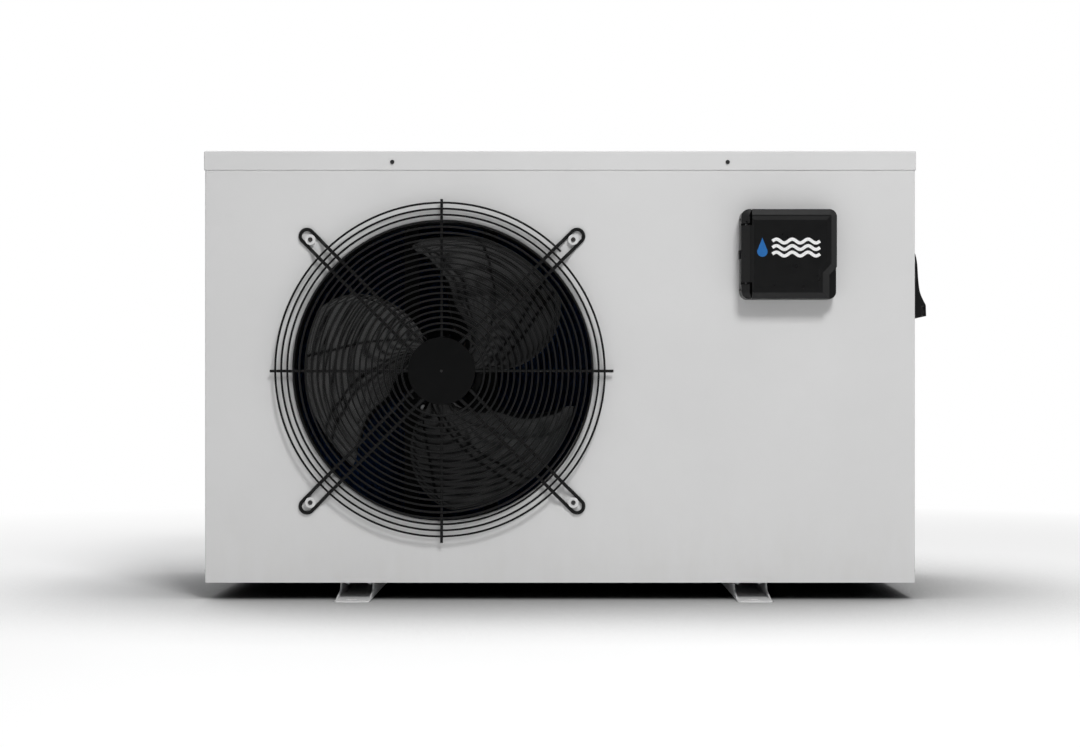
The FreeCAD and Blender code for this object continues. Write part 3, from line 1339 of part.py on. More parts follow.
def refrigerant_pipes():
    """Copper lines between compressor, reversing valve, coil, exchanger and accumulator."""
    top_z = VALVE_Z + 30
    discharge = pipe(
        [
            Vector(COMPRESSOR_X, COMPRESSOR_Y + 25, 322),
            Vector(COMPRESSOR_X, COMPRESSOR_Y + 25, 356),
            Vector(COMPRESSOR_X, VALVE_Y, 356),
            Vector(COMPRESSOR_X, VALVE_Y, VALVE_Z - 30),
        ],
        6.3,
        11,
    )
    suction = pipe(
        [
            Vector(COMPRESSOR_X, VALVE_Y, top_z),
            Vector(COMPRESSOR_X, VALVE_Y, 520),
            Vector(COMPRESSOR_X, VALVE_Y - 60, 520),
            Vector(ACCUMULATOR_X, VALVE_Y - 60, 520),
            Vector(ACCUMULATOR_X, VALVE_Y - 60, 380),
            Vector(ACCUMULATOR_X, ACCUMULATOR_Y, 380),
            Vector(ACCUMULATOR_X, ACCUMULATOR_Y, 275),
        ],
        7.2,
        18,
    )
    to_exchanger = pipe(
        [
            Vector(COMPRESSOR_X + 24, VALVE_Y, top_z),
            Vector(COMPRESSOR_X + 24, VALVE_Y, 500),
            Vector(EXCHANGER_X, EXCHANGER_Y, 500),
            Vector(EXCHANGER_X, EXCHANGER_Y, EXCHANGER_TOP + 12),
        ],
        7.2,
        18,
    )
    to_coil = pipe(
        [
            Vector(COMPRESSOR_X - 24, VALVE_Y, top_z),
            Vector(COMPRESSOR_X - 24, VALVE_Y, 490),
            Vector(COMPRESSOR_X - 24, 130, 490),
            Vector(145, 130, 490),
            Vector(145, 130, 80),
        ],
        7.2,
        18,
    )
    liquid_y = -60
    liquid = pipe(
        [
            Vector(EXCHANGER_X, liquid_y, 250),
            Vector(EXCHANGER_X, liquid_y, 290),
            Vector(320, liquid_y, 290),
            Vector(320, liquid_y, 262),
        ],
        4.8,
        12,
    )
    to_distributor = pipe(
        [
            Vector(320, liquid_y, 150),
            Vector(320, liquid_y, 90),
            Vector(320, -130, 90),
            Vector(140, -130, 90),
            Vector(140, -130, 300),
        ],
        4.8,
        12,
    )
    return Part.makeCompound([discharge, suction, to_exchanger, to_coil, liquid, to_distributor])


def filter_drier():
    shell = domed_vessel(320, -60, 19, 160, 250, 9)
    upper = rod(Vector(320, -60, 245), Vector(320, -60, 262), 6)
    lower = rod(Vector(320, -60, 150), Vector(320, -60, 165), 6)
    return joined([shell, upper, lower])


def expansion_valve():
    """Motor-driven valve at the liquid outlet of the exchanger."""
    x = EXCHANGER_X
    body = rod(Vector(x, -60, 215), Vector(x, -60, 250), 10)
    head = rod(Vector(x, -60, 180), Vector(x, -60, 215), 21)
    branch_end = EXCHANGER_Y - EXCHANGER_RADIUS - 8
    branch = rod(Vector(x, -60, 232), Vector(x, branch_end, 232), 6)
    return joined([body, head, branch])


def heat_exchanger():
    x = EXCHANGER_X
    y = EXCHANGER_Y
    shell = domed_vessel(x, y, EXCHANGER_RADIUS, EXCHANGER_BOTTOM, EXCHANGER_TOP, 14)
    pieces = [shell]
    for z in (EXCHANGER_BOTTOM + 22, EXCHANGER_TOP - 50):
        pieces.append(rod(Vector(x, y, z), Vector(x, y, z + 16), EXCHANGER_RADIUS + 6))
    for z in (INLET_Z, OUTLET_Z):
        pieces.append(disc_y(x, z, 27.0, y, BACK + 1))
        pieces.append(disc_y(x, z, PORT_RADIUS, BACK + 1, PORT_END))
    pieces.append(rod(Vector(x, y, EXCHANGER_TOP - 2), Vector(x, y, EXCHANGER_TOP + 12), 11))
    port_y = y - EXCHANGER_RADIUS
    pieces.append(rod(Vector(x, y, 232), Vector(x, port_y - 8, 232), 11))
    for side in (-1, 1):
        foot_x = x + side * 40
        pieces.append(slab((foot_x - 12, foot_x + 12), (y - 35, y + 35), (FLOOR + SHEET, EXCHANGER_BOTTOM + 25)))
    body = joined(pieces)
    cuts = []
    for z in (INLET_Z, OUTLET_Z):
        cuts.append(disc_y(x, z, PORT_BORE, y, PORT_END + 1))
        cuts.append(ring_y(x, z, 27.4, 23.4, PORT_END - 2.8, PORT_END + 1))
    return body.cut(cuts)


def union_o_rings():
    rings = []
    for z in (INLET_Z, OUTLET_Z):
        rings.append(Part.makeTorus(25.4, 1.4, Vector(EXCHANGER_X, PORT_END - 1.3, z), TO_BACK))
    return Part.makeCompound(rings)


def tailpiece(z):
    """Glue socket for metric 50 mm pipe with a collar held by the union nut."""
    x = EXCHANGER_X
    face = PORT_END + 0.2
    collar = disc_y(x, z, PORT_RADIUS - 0.2, face, face + 6.5)
    tube = disc_y(x, z, TAIL_RADIUS, face, TAIL_END)
    body = joined([collar, tube])
    bore = disc_y(x, z, PORT_BORE, face - 1, TAIL_END)
    socket = disc_y(x, z, SOCKET_RADIUS, TAIL_END - SOCKET_DEPTH, TAIL_END + 1)
    return body.cut([bore, socket])


def union_nut(z):
    x = EXCHANGER_X
    start = PORT_END - 20
    shoulder = PORT_END + 7.0
    end = shoulder + 6
    body = disc_y(x, z, NUT_RADIUS - 3, start, end)
    rims = [edge for edge in body.Edges if edge.Closed]
    body = body.makeFillet(1.5, rims)
    grips = []
    for index in range(12):
        grip = slab((NUT_RADIUS - 6, NUT_RADIUS), (start + 2, end - 2), (-3, 3))
        grip.rotate(Vector(0, 0, 0), TO_BACK, 30 * index)
        grip.translate(Vector(x, 0, z))
        grips.append(grip)
    nut = joined([body] + grips)
    thread = disc_y(x, z, PORT_RADIUS + FIT_GAP, start - 1, shoulder)
    mouth = disc_y(x, z, TAIL_RADIUS + FIT_GAP, shoulder - 1, end + 1)
    return nut.cut([thread, mouth])


# ---------------------------------------------------------------- electrical box and rear fittings


def electrical_box():
    outer = slab(BOX_X, BOX_Y, BOX_Z)
    wall = BOX_SHEET
    inner_x = (BOX_X[0] + wall, BOX_X[1] - wall)
    inner = slab(inner_x, (BOX_Y[0] - 1, BOX_Y[1] - wall), (BOX_Z[0] + wall, BOX_Z[1] - wall))
    box = outer.cut(inner)
    cable_hole = rod(Vector(460, -70, BOX_Z[0] - 1), Vector(460, -70, BOX_Z[0] + 3), 14)
    return box.cut(cable_hole)


def electrical_box_lid():
    plate = slab(BOX_X, (BOX_Y[0] - BOX_SHEET, BOX_Y[0]), BOX_Z)
    louvres = []
    for row in range(6):
        z = BOX_Z[0] + 30 + 12 * row
        louvres.append(slab((430, 470), (BOX_Y[0] - 3, BOX_Y[0] + 1), (z, z + 3)))
    return plate.cut(louvres)


def circuit_board():
    back = BOX_Y[1] - BOX_SHEET
    board = slab((140, 330), (back - 10, back - 8), (495, 605))
    pieces = [board]
    for x in (150.0, 320.0):
        for z in (505.0, 595.0):
            pieces.append(disc_y(x, z, 3.0, back - 8, back))
    for index in range(4):
        x = 165 + index * 28
        pieces.append(slab((x, x + 20), (back - 28, back - 10), (570, 596)))
    for index in range(3):
        pieces.append(disc_y(180 + index * 32, 535, 11, back - 38, back - 10))
    pieces.append(slab((270, 318), (back - 24, back - 10), (510, 550)))
    return joined(pieces)


def terminal_block():
    back = BOX_Y[1] - BOX_SHEET
    block = slab((360, 480), (back - 26, back), (500, 534))
    cuts = []
    for index in range(6):
        x = 364 + 19 * index
        cuts.append(slab((x, x + 15), (back - 27, back - 8), (498, 512)))
        cuts.append(disc_y(x + 7.5, 524, 3.2, back - 27, back - 20))
    return block.cut(cuts)


def gauge_case():
    x = GAUGE_X
    z = GAUGE_Z
    barrel = disc_y(x, z, 27.0, BACK - 30, BACK)
    flange = disc_y(x, z, 33.0, BACK, BACK + 3)
    bezel = disc_y(x, z, 29.0, BACK + 3, BACK + 11)
    rim = [edge for edge in bezel.Edges if edge.Closed and edge.CenterOfMass.y > BACK + 10]
    bezel = bezel.makeFillet(1.5, rim)
    case = joined([barrel, flange, bezel])
    case = case.cut(disc_y(x, z, 24.5, BACK - 3, BACK + 12))
    spindle = disc_y(x, z, 1.0, BACK - 4, BACK + 4)
    seat = ring_y(x, z, 24.6, 23.0, BACK - 4, BACK + 7)
    return joined([case, spindle, seat])


def gauge_lens():
    return disc_y(GAUGE_X, GAUGE_Z, 24.4, BACK + 7.0, BACK + 9.0)


def gauge_needle():
    """Rests at the low end of the scale, down to the left when seen from behind the cabinet."""
    x = GAUGE_X
    z = GAUGE_Z
    y_range = (BACK + 0.5, BACK + 1.7)
    hub = disc_y(x, z, 3.0, y_range[0], y_range[1])
    pointer = prism(
        [
            Vector(x - 1.3, y_range[0], z - 7),
            Vector(x + 1.3, y_range[0], z - 7),
            Vector(x + 0.4, y_range[0], z + 19),
            Vector(x - 0.4, y_range[0], z + 19),
        ],
        TO_BACK * (y_range[1] - y_range[0]),
    )
    needle = joined([hub, pointer])
    needle = needle.cut(disc_y(x, z, 1.06, y_range[0] - 1, y_range[1] + 1))
    needle.rotate(Vector(x, 0, z), TO_BACK, 135)
    return needle


def cable_glands():
    """Two glands with their lock nuts as separate solids."""
    glands = []
    for z in GLAND_Z:
        thread = disc_y(GLAND_X, z, 10.0, BACK - 10, BACK)
        body = polygon_y(GLAND_X, z, 14.0, 6, BACK, BACK + 7)
        dome = disc_y(GLAND_X, z, 11.5, BACK + 7, BACK + 22)
        rim = [edge for edge in dome.Edges if edge.Closed and edge.CenterOfMass.y > BACK + 20]
        dome = dome.makeFillet(5.0, rim)
        gland = joined([thread, body, dome])
        glands.append(gland.cut(disc_y(GLAND_X, z, 5.0, BACK - 11, BACK + 23)))
        nut = polygon_y(GLAND_X, z, 14.0, 6, BACK - SHEET - 5, BACK - SHEET)
        glands.append(nut.cut(disc_y(GLAND_X, z, 10.02, BACK - 10, BACK)))
    return Part.makeCompound(glands)


def service_valves():
    """Charging valves with their hexagon caps as separate solids."""
    valves = []
    for z in SERVICE_Z:
        stem = disc_y(SERVICE_X, z, 8.0, BACK - 26, BACK + 4)
        collar = polygon_y(SERVICE_X, z, 13.0, 6, BACK, BACK + 5)
        nipple = disc_y(SERVICE_X, z, 5.0, BACK + 5, BACK + 16)
        valves.append(joined([stem, collar, nipple]))
        cap = polygon_y(SERVICE_X, z, 9.5, 6, BACK + 5, BACK + 20)
        valves.append(cap.cut(disc_y(SERVICE_X, z, 5.04, BACK + 4, BACK + 16.1)))
    return Part.makeCompound(valves)


PARTS = {
    "base_pan": base_pan(),
    "left_foot_rail": foot_rail(-RAIL_X),
    "right_foot_rail": foot_rail(RAIL_X),
    "rail_bolts": rail_bolts(),
    "drain_spout": drain_spout(),
    "front_panel": front_panel(),
    "top_lid": top_lid(),
    "right_side_panel": right_side_panel(),
    "rear_service_panel": rear_service_panel(),
    "rear_corner_post": rear_corner_post(),
    "partition_panel": partition_panel(),
    "panel_screws": panel_screws(),
    "coil_guards": Part.makeCompound([rear_coil_guard(), left_coil_guard()]),
    "evaporator_fins": evaporator_fins(),
    "coil_tube_sheets": coil_tube_sheets(),
    "return_bends": return_bends(),
    "motor_bracket": motor_bracket(),
    "fan_motor": fan_motor(),
    "motor_bolts": motor_bolts(),
    "motor_shaft": motor_shaft(),
    "fan": fan(),
    "fan_nut": fan_nut(),
    "guard_spiral": guard_spiral(),
    "guard_arms": guard_arms(),
    "guard_disc": guard_disc(),
    "guard_spacers": guard_spacers(),
    "guard_screws": guard_screws(),
    "controller_base": controller_base(),
    "controller_cover": controller_cover(),
    "cover_hinge_pins": cover_hinge_pins(),
    "display_lens": display_lens(),
    "controller_board": controller_board(),
    "button_power": push_button(BUTTON_X["power"]),
    "button_mode": push_button(BUTTON_X["mode"]),
    "button_down": push_button(BUTTON_X["down"]),
    "button_up": push_button(BUTTON_X["up"]),
    "side_handle": side_handle(),
    "compressor": compressor(),
    "compressor_grommets": compressor_grommets(),
    "compressor_bolts": compressor_bolts(),
    "terminal_cover": terminal_cover(),
    "accumulator": accumulator(),
    "four_way_valve": four_way_valve(),
    "refrigerant_pipes": refrigerant_pipes(),
    "filter_drier": filter_drier(),
    "expansion_valve": expansion_valve(),
    "heat_exchanger": heat_exchanger(),
    "union_tailpieces": Part.makeCompound([tailpiece(INLET_Z), tailpiece(OUTLET_Z)]),
    "inlet_union_nut": union_nut(INLET_Z),
    "outlet_union_nut": union_nut(OUTLET_Z),
    "union_o_rings": union_o_rings(),
    "electrical_box": electrical_box(),
    "electrical_box_lid": electrical_box_lid(),
    "circuit_board": circuit_board(),
    "terminal_block": terminal_block(),
    "gauge_case": gauge_case(),
    "gauge_lens": gauge_lens(),
    "gauge_needle": gauge_needle(),
    "cable_glands": cable_glands(),
    "service_valves": service_valves(),
}

os.makedirs("parts", exist_ok=True)
for node_name, shape in PARTS.items():
    shape.exportStep("parts/" + node_name + ".step")
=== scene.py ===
import json
import math
import random

import bmesh
import bpy
from mathutils import Matrix, Vector


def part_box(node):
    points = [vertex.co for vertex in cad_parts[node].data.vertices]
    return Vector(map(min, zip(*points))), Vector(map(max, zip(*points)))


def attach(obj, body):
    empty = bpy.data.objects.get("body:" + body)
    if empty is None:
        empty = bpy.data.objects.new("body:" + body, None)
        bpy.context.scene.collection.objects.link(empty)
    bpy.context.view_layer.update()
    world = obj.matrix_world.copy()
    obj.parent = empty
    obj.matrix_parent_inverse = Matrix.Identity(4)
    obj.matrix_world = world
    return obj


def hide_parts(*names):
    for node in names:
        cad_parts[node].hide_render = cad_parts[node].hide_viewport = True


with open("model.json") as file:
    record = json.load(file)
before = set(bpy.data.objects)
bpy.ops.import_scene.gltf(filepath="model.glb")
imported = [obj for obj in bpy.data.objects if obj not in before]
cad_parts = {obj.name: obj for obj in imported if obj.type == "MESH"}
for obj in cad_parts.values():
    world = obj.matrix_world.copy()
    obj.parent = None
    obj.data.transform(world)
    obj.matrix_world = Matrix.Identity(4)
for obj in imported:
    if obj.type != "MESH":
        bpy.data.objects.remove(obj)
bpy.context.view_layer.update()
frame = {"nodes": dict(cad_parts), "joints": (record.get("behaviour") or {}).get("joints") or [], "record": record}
nodes = frame["nodes"]
joint_at = {joint["name"]: Vector(joint.get("pos_m", (0, 0, 0))) for joint in frame["joints"]}
random.seed(7)

MM = 0.001


# ---------------------------------------------------------------- materials

NOISE_ROUGHNESS = 0.55


class Shader:
    """Small helper that adds nodes to one material and remembers its Principled shader."""

    def __init__(self, name):
        self.material = bpy.data.materials.new(name)
        self.material.use_nodes = True
        self.tree = self.material.node_tree
        self.surface = self.tree.nodes["Principled BSDF"]
        self.coordinates = self.add("ShaderNodeTexCoord").outputs["Object"]

    def add(self, kind, **values):
        node = self.tree.nodes.new(kind)
        for key, value in values.items():
            setattr(node, key, value)
        return node

    def link(self, source, target):
        self.tree.links.new(source, target)

    def noise(self, scale, detail=3.0, stretch=(1, 1, 1)):
        """Noise value over object space, with feature size 1/scale metres."""
        mapping = self.add("ShaderNodeMapping")
        mapping.inputs["Scale"].default_value = stretch
        self.link(self.coordinates, mapping.inputs["Vector"])
        noise = self.add("ShaderNodeTexNoise")
        noise.inputs["Scale"].default_value = scale
        noise.inputs["Detail"].default_value = detail
        noise.inputs["Roughness"].default_value = NOISE_ROUGHNESS
        self.link(mapping.outputs["Vector"], noise.inputs["Vector"])
        return noise.outputs["Fac"]

    def uneven(self, scale, low, high, detail=3.0):
        """Value that wanders between low and high."""
        return self.remap(self.noise(scale, detail), 0.3, 0.7, low, high)

    def mottled(self, colour, darker, lighter, scale, detail=3.0, calm=0.3, full=0.7):
        """Colour that wanders between a darker and a lighter version of itself."""
        wander = self.remap(self.noise(scale, detail), calm, full, 0.0, 1.0)
        return self.blend(wander, shade(colour, darker), shade(colour, lighter))

    def cells(self, scale, feature="F1"):
        """Crystal-like cells over object space."""
        cells = self.add("ShaderNodeTexVoronoi", feature=feature)
        cells.inputs["Scale"].default_value = scale
        self.link(self.coordinates, cells.inputs["Vector"])
        return cells

    def remap(self, value, low, high, to_low, to_high):
        """Carries low..high over to to_low..to_high and clamps what lies outside."""
        remap = self.add("ShaderNodeMapRange", clamp=True)
        for index, number in enumerate((low, high, to_low, to_high)):
            remap.inputs[index + 1].default_value = number
        self.link(value, remap.inputs["Value"])
        return remap.outputs["Result"]

    def multiply(self, first, second):
        product = self.add("ShaderNodeMath", operation="MULTIPLY")
        self.link(first, product.inputs[0])
        self.link(second, product.inputs[1])
        return product.outputs["Value"]

    def power(self, value, exponent):
        power = self.add("ShaderNodeMath", operation="POWER")
        power.inputs[1].default_value = exponent
        self.link(value, power.inputs[0])
        return power.outputs["Value"]

    def blend(self, factor, first, second):
        """Mixes two colours, each a tuple or a socket; factor 0 gives the first."""
        mix = self.add("ShaderNodeMix", data_type="RGBA")
        self.link(factor, mix.inputs["Factor"])
        for value, socket in ((first, mix.inputs["A"]), (second, mix.inputs["B"])):
            if isinstance(value, tuple):
                socket.default_value = (*value, 1.0)
            else:
                self.link(value, socket)
        return mix.outputs["Result"]

    def bump(self, height, depth, after=None):
        """Bump of the given depth in metres; chains after an earlier normal when given."""
        bump = self.add("ShaderNodeBump")
        bump.inputs["Strength"].default_value = 1.0
        bump.inputs["Distance"].default_value = depth
        self.link(height, bump.inputs["Height"])
        if after is not None:
            self.link(after, bump.inputs["Normal"])
        return bump.outputs["Normal"]

    def edge_mask(self, radius):
        """1 along sharp edges, 0 on flat faces, from how far a rounded normal leans away."""
        bevel = self.add("ShaderNodeBevel", samples=4)
        bevel.inputs["Radius"].default_value = radius
        geometry = self.add("ShaderNodeNewGeometry")
        dot = self.add("ShaderNodeVectorMath", operation="DOT_PRODUCT")
        self.link(bevel.outputs["Normal"], dot.inputs[0])
        self.link(geometry.outputs["Normal"], dot.inputs[1])
        return self.remap(dot.outputs["Value"], 0.98, 0.80, 0.0, 1.0)

    def finish(self, colour, roughness, normal=None, metallic=0.0, **extra):
        """Connects the surface and returns the material.

        Extra names are inputs of the surface shader, with _ for a space.
        """
        self.link(colour, self.surface.inputs["Base Color"])
        self.link(roughness, self.surface.inputs["Roughness"])
        if normal is not None:
            self.link(normal, self.surface.inputs["Normal"])
        self.surface.inputs["Metallic"].default_value = metallic
        for name, value in extra.items():
            self.surface.inputs[name.replace("_", " ")].default_value = value
        return self.material


def shade(colour, factor):
    """Lighter or darker version of a colour, kept below white."""
    return tuple(min(1.0, channel * factor) for channel in colour)


DUST_HEIGHT = 0.16
# Painted shade in the throat of the air outlet: it darkens to near black over this depth behind the rolled lip
THROAT_SHADE_FADE = 11 * MM
THROAT_PAINTED_SHADE = (0.005, 0.005, 0.005)


def outlet_painted_shade_mask(s, centre, radius, start_y):
    """Painted shade mask: 1 inside the throat of the air outlet, behind the rolled lip, fading in with depth, and
    0 on the rest of the sheet.
    """
    separate = s.add("ShaderNodeSeparateXYZ")
    s.link(s.coordinates, separate.inputs["Vector"])
    behind = s.remap(separate.outputs["Y"], start_y, start_y + THROAT_SHADE_FADE, 0.0, 1.0)
    flatten = s.add("ShaderNodeVectorMath", operation="MULTIPLY")
    s.link(s.coordinates, flatten.inputs[0])
    flatten.inputs[1].default_value = (1, 0, 1)
    offset = s.add("ShaderNodeVectorMath", operation="DISTANCE")
    s.link(flatten.outputs["Vector"], offset.inputs[0])
    offset.inputs[1].default_value = (centre.x, 0, centre.z)
    near = s.remap(offset.outputs["Value"], radius, radius + 0.5 * MM, 1.0, 0.0)
    return s.multiply(behind, near)


def powder_coat(name, colour, outlet=None):
    """Satin polyester powder coat: orange peel, faint mottling and a little dust low down; given an outlet,
    painted shade darkens the outlet's throat.
    """
    s = Shader(name)
    tone = s.mottled(colour, 0.975, 1.015, 5.0, 4.0)
    separate = s.add("ShaderNodeSeparateXYZ")
    s.link(s.coordinates, separate.inputs["Vector"])
    low = s.remap(separate.outputs["Z"], 0.0, DUST_HEIGHT, 0.35, 0.0)
    dust = s.multiply(low, s.remap(s.noise(38.0, 6.0, (1, 1, 0.35)), 0.4, 0.75, 0.0, 1.0))
    dust_colour = shade((colour[0], colour[1] * 0.985, colour[2] * 0.95), 0.88)
    dusty = s.blend(dust, tone, dust_colour)
    specks = s.remap(s.cells(420.0).outputs["Distance"], 0.02, 0.06, 0.18, 0.0)
    scattered = s.multiply(specks, s.remap(s.noise(60.0), 0.55, 0.62, 0.0, 1.0))
    coat = s.blend(scattered, dusty, shade(colour, 0.6))
    peel = s.bump(s.noise(620.0, 2.0), 0.00005)
    wave = s.bump(s.noise(9.0, 1.0), 0.0006, after=peel)
    rough = s.uneven(140.0, 0.42, 0.52)
    # Painted shade: the throat behind the outlet's lip is darkened to near black
    if outlet:
        coat = s.blend(outlet_painted_shade_mask(s, *outlet), coat, THROAT_PAINTED_SHADE)
    return s.finish(coat, rough, wave, Specular_IOR_Level=0.35)


def moulded_plastic(name, colour, grain=0.00006, roughness=(0.42, 0.56), scale=1500.0, mirror=0.5):
    """Injection-moulded plastic: spark-eroded grain, soft blotches and rubbed edges."""
    s = Shader(name)
    tone = s.mottled(colour, 0.9, 1.12, 24.0, 4.0, calm=0.35)
    rubbed = s.multiply(s.edge_mask(0.0008), s.remap(s.noise(90.0), 0.4, 0.6, 0.1, 0.45))
    scuffed = s.blend(rubbed, tone, tuple(0.8 * channel + 0.02 for channel in colour))
    texture = s.bump(s.cells(scale, "SMOOTH_F1").outputs["Distance"], grain)
    rough = s.uneven(70.0, *roughness)
    return s.finish(scuffed, rough, texture, Specular_IOR_Level=mirror)


def coated_wire(name, colour):
    """Dip-coated steel wire: satin black with sag marks and dust on the upper side."""
    s = Shader(name)
    tone = s.mottled(colour, 0.8, 1.3, 55.0)
    normal = s.add("ShaderNodeNewGeometry").outputs["Normal"]
    split = s.add("ShaderNodeSeparateXYZ")
    s.link(normal, split.inputs["Vector"])
    upward = s.multiply(s.remap(split.outputs["Z"], 0.4, 1.0, 0.0, 0.05), s.noise(80.0, 5.0))
    dusty = s.blend(upward, tone, (0.30, 0.29, 0.27))
    sag = s.bump(s.noise(320.0, 2.0), 0.00006)
    rough = s.uneven(45.0, 0.28, 0.42, detail=2.0)
    return s.finish(dusty, rough, sag, Specular_IOR_Level=0.2)


SPANGLE_SCALE = 90.0


def zinc_sheet(name, colour):
    """Hot-dip galvanised sheet with crystal spangle."""
    s = Shader(name)
    cells = s.cells(SPANGLE_SCALE)
    split = s.add("ShaderNodeSeparateXYZ")
    s.link(cells.outputs["Color"], split.inputs["Vector"])
    tone = s.blend(split.outputs["X"], shade(colour, 0.72), shade(colour, 1.18))
    stains = s.remap(s.noise(18.0, 5.0), 0.5, 0.75, 0.0, 0.5)
    stained = s.blend(stains, tone, shade(colour, 0.6))
    rough = s.remap(split.outputs["Y"], 0.0, 1.0, 0.3, 0.52)
    return s.finish(stained, rough, s.bump(s.noise(400.0), 0.00004), metallic=0.95)


def turned_metal(name, colour, roughness=(0.2, 0.38), stain=0.6, metallic=1.0):
    """Bare drawn or turned metal with brushing marks and finger stains."""
    s = Shader(name)
    brushed = s.noise(900.0, 2.0, (1.0, 0.06, 1.0))
    stains = s.remap(s.noise(35.0, 5.0), 0.45, 0.7, 0.0, 1.0)
    tone = s.blend(stains, colour, shade(colour, stain))
    streaked = s.blend(s.remap(brushed, 0.3, 0.7, 0.0, 0.35), tone, shade(colour, 1.25))
    rough = s.uneven(110.0, *roughness, detail=4.0)
    return s.finish(streaked, rough, s.bump(brushed, 0.00002), metallic=metallic)


def fin_metal(name, colour):
    """Coated aluminium fin stock: blue film with slight lengthwise streaks and patches of dust."""
    s = Shader(name)
    streak = s.noise(220.0, 3.0, (1.0, 1.0, 0.03))
    tone = s.blend(s.remap(streak, 0.3, 0.7, 0.0, 1.0), shade(colour, 0.7), shade(colour, 1.2))
    dust = s.remap(s.noise(12.0, 5.0), 0.5, 0.8, 0.0, 0.35)
    dusty = s.blend(dust, tone, (0.25, 0.27, 0.3))
    rough = s.uneven(60.0, 0.32, 0.5)
    return s.finish(dusty, rough, s.bump(streak, 0.00003), metallic=0.45)


def enamel(name, colour, runs=0.00025, roughness=(0.18, 0.34), mirror=0.5):
    """Brushed-on or sprayed enamel over steel, with soft runs and chipped edges."""
    s = Shader(name)
    tone = s.mottled(colour, 0.8, 1.25, 30.0, 4.0, calm=0.35)
    chips = s.multiply(s.edge_mask(0.0012), s.remap(s.noise(160.0, 5.0), 0.52, 0.6, 0.0, 0.7))
    chipped = s.blend(chips, tone, (0.18, 0.15, 0.13))
    rough = s.uneven(25.0, *roughness)
    normal = s.bump(s.noise(48.0, 2.0, (1, 1, 0.4)), runs)
    return s.finish(chipped, rough, normal, Specular_IOR_Level=mirror)


def circuit_laminate(name):
    """Green solder mask with a maze of copper tracks under it and pale pads."""
    s = Shader(name)
    tracks = s.add("ShaderNodeTexBrick")
    tracks.inputs["Scale"].default_value = 160.0
    tracks.inputs["Mortar Size"].default_value = 0.06
    tracks.inputs["Color1"].default_value = (0.006, 0.075, 0.025, 1)
    tracks.inputs["Color2"].default_value = (0.008, 0.095, 0.03, 1)
    tracks.inputs["Mortar"].default_value = (0.02, 0.17, 0.05, 1)
    turned = s.add("ShaderNodeMapping")
    turned.inputs["Rotation"].default_value = (math.radians(90), 0, 0)
    s.link(s.coordinates, turned.inputs["Vector"])
    s.link(turned.outputs["Vector"], tracks.inputs["Vector"])
    pads = s.remap(s.cells(260.0).outputs["Distance"], 0.16, 0.2, 1.0, 0.0)
    colour = s.blend(pads, tracks.outputs["Color"], (0.55, 0.53, 0.45))
    rough = s.uneven(80.0, 0.25, 0.4)
    return s.finish(colour, rough, s.bump(tracks.outputs["Fac"], 0.00003))


def dark_window(name):
    """Smoked acrylic window with faint wipe marks."""
    s = Shader(name)
    wipe = s.noise(60.0, 4.0, (1.0, 1.0, 0.15))
    colour = s.blend(s.remap(wipe, 0.4, 0.7, 0.0, 1.0), (0.010, 0.013, 0.018), (0.018, 0.022, 0.028))
    rough = s.remap(wipe, 0.35, 0.7, 0.05, 0.16)
    return s.finish(colour, rough, s.bump(s.noise(30.0), 0.00004), Coat_Weight=0.15)


def clear_glass(name):
    """Clear gauge glass with faint smears."""
    s = Shader(name)
    smear = s.noise(70.0, 4.0)
    tint = s.blend(s.remap(smear, 0.4, 0.7, 0.0, 1.0), (0.95, 0.98, 0.98), (0.86, 0.9, 0.9))
    rough = s.remap(smear, 0.4, 0.8, 0.02, 0.08)
    return s.finish(tint, rough, s.bump(smear, 0.00001), Transmission_Weight=1.0, IOR=1.45)


def printed_ink(name, colour, glow=0.0):
    """Flat screen-printed or lit marking, slightly uneven in tone."""
    s = Shader(name)
    tone = s.mottled(colour, 0.85, 1.05, 900.0, calm=0.35, full=0.65)
    rough = s.uneven(300.0, 0.4, 0.55)
    if glow:
        s.link(tone, s.surface.inputs["Emission Color"])
        s.surface.inputs["Emission Strength"].default_value = glow
    return s.finish(tone, rough, s.bump(s.noise(1200.0), 0.00001))


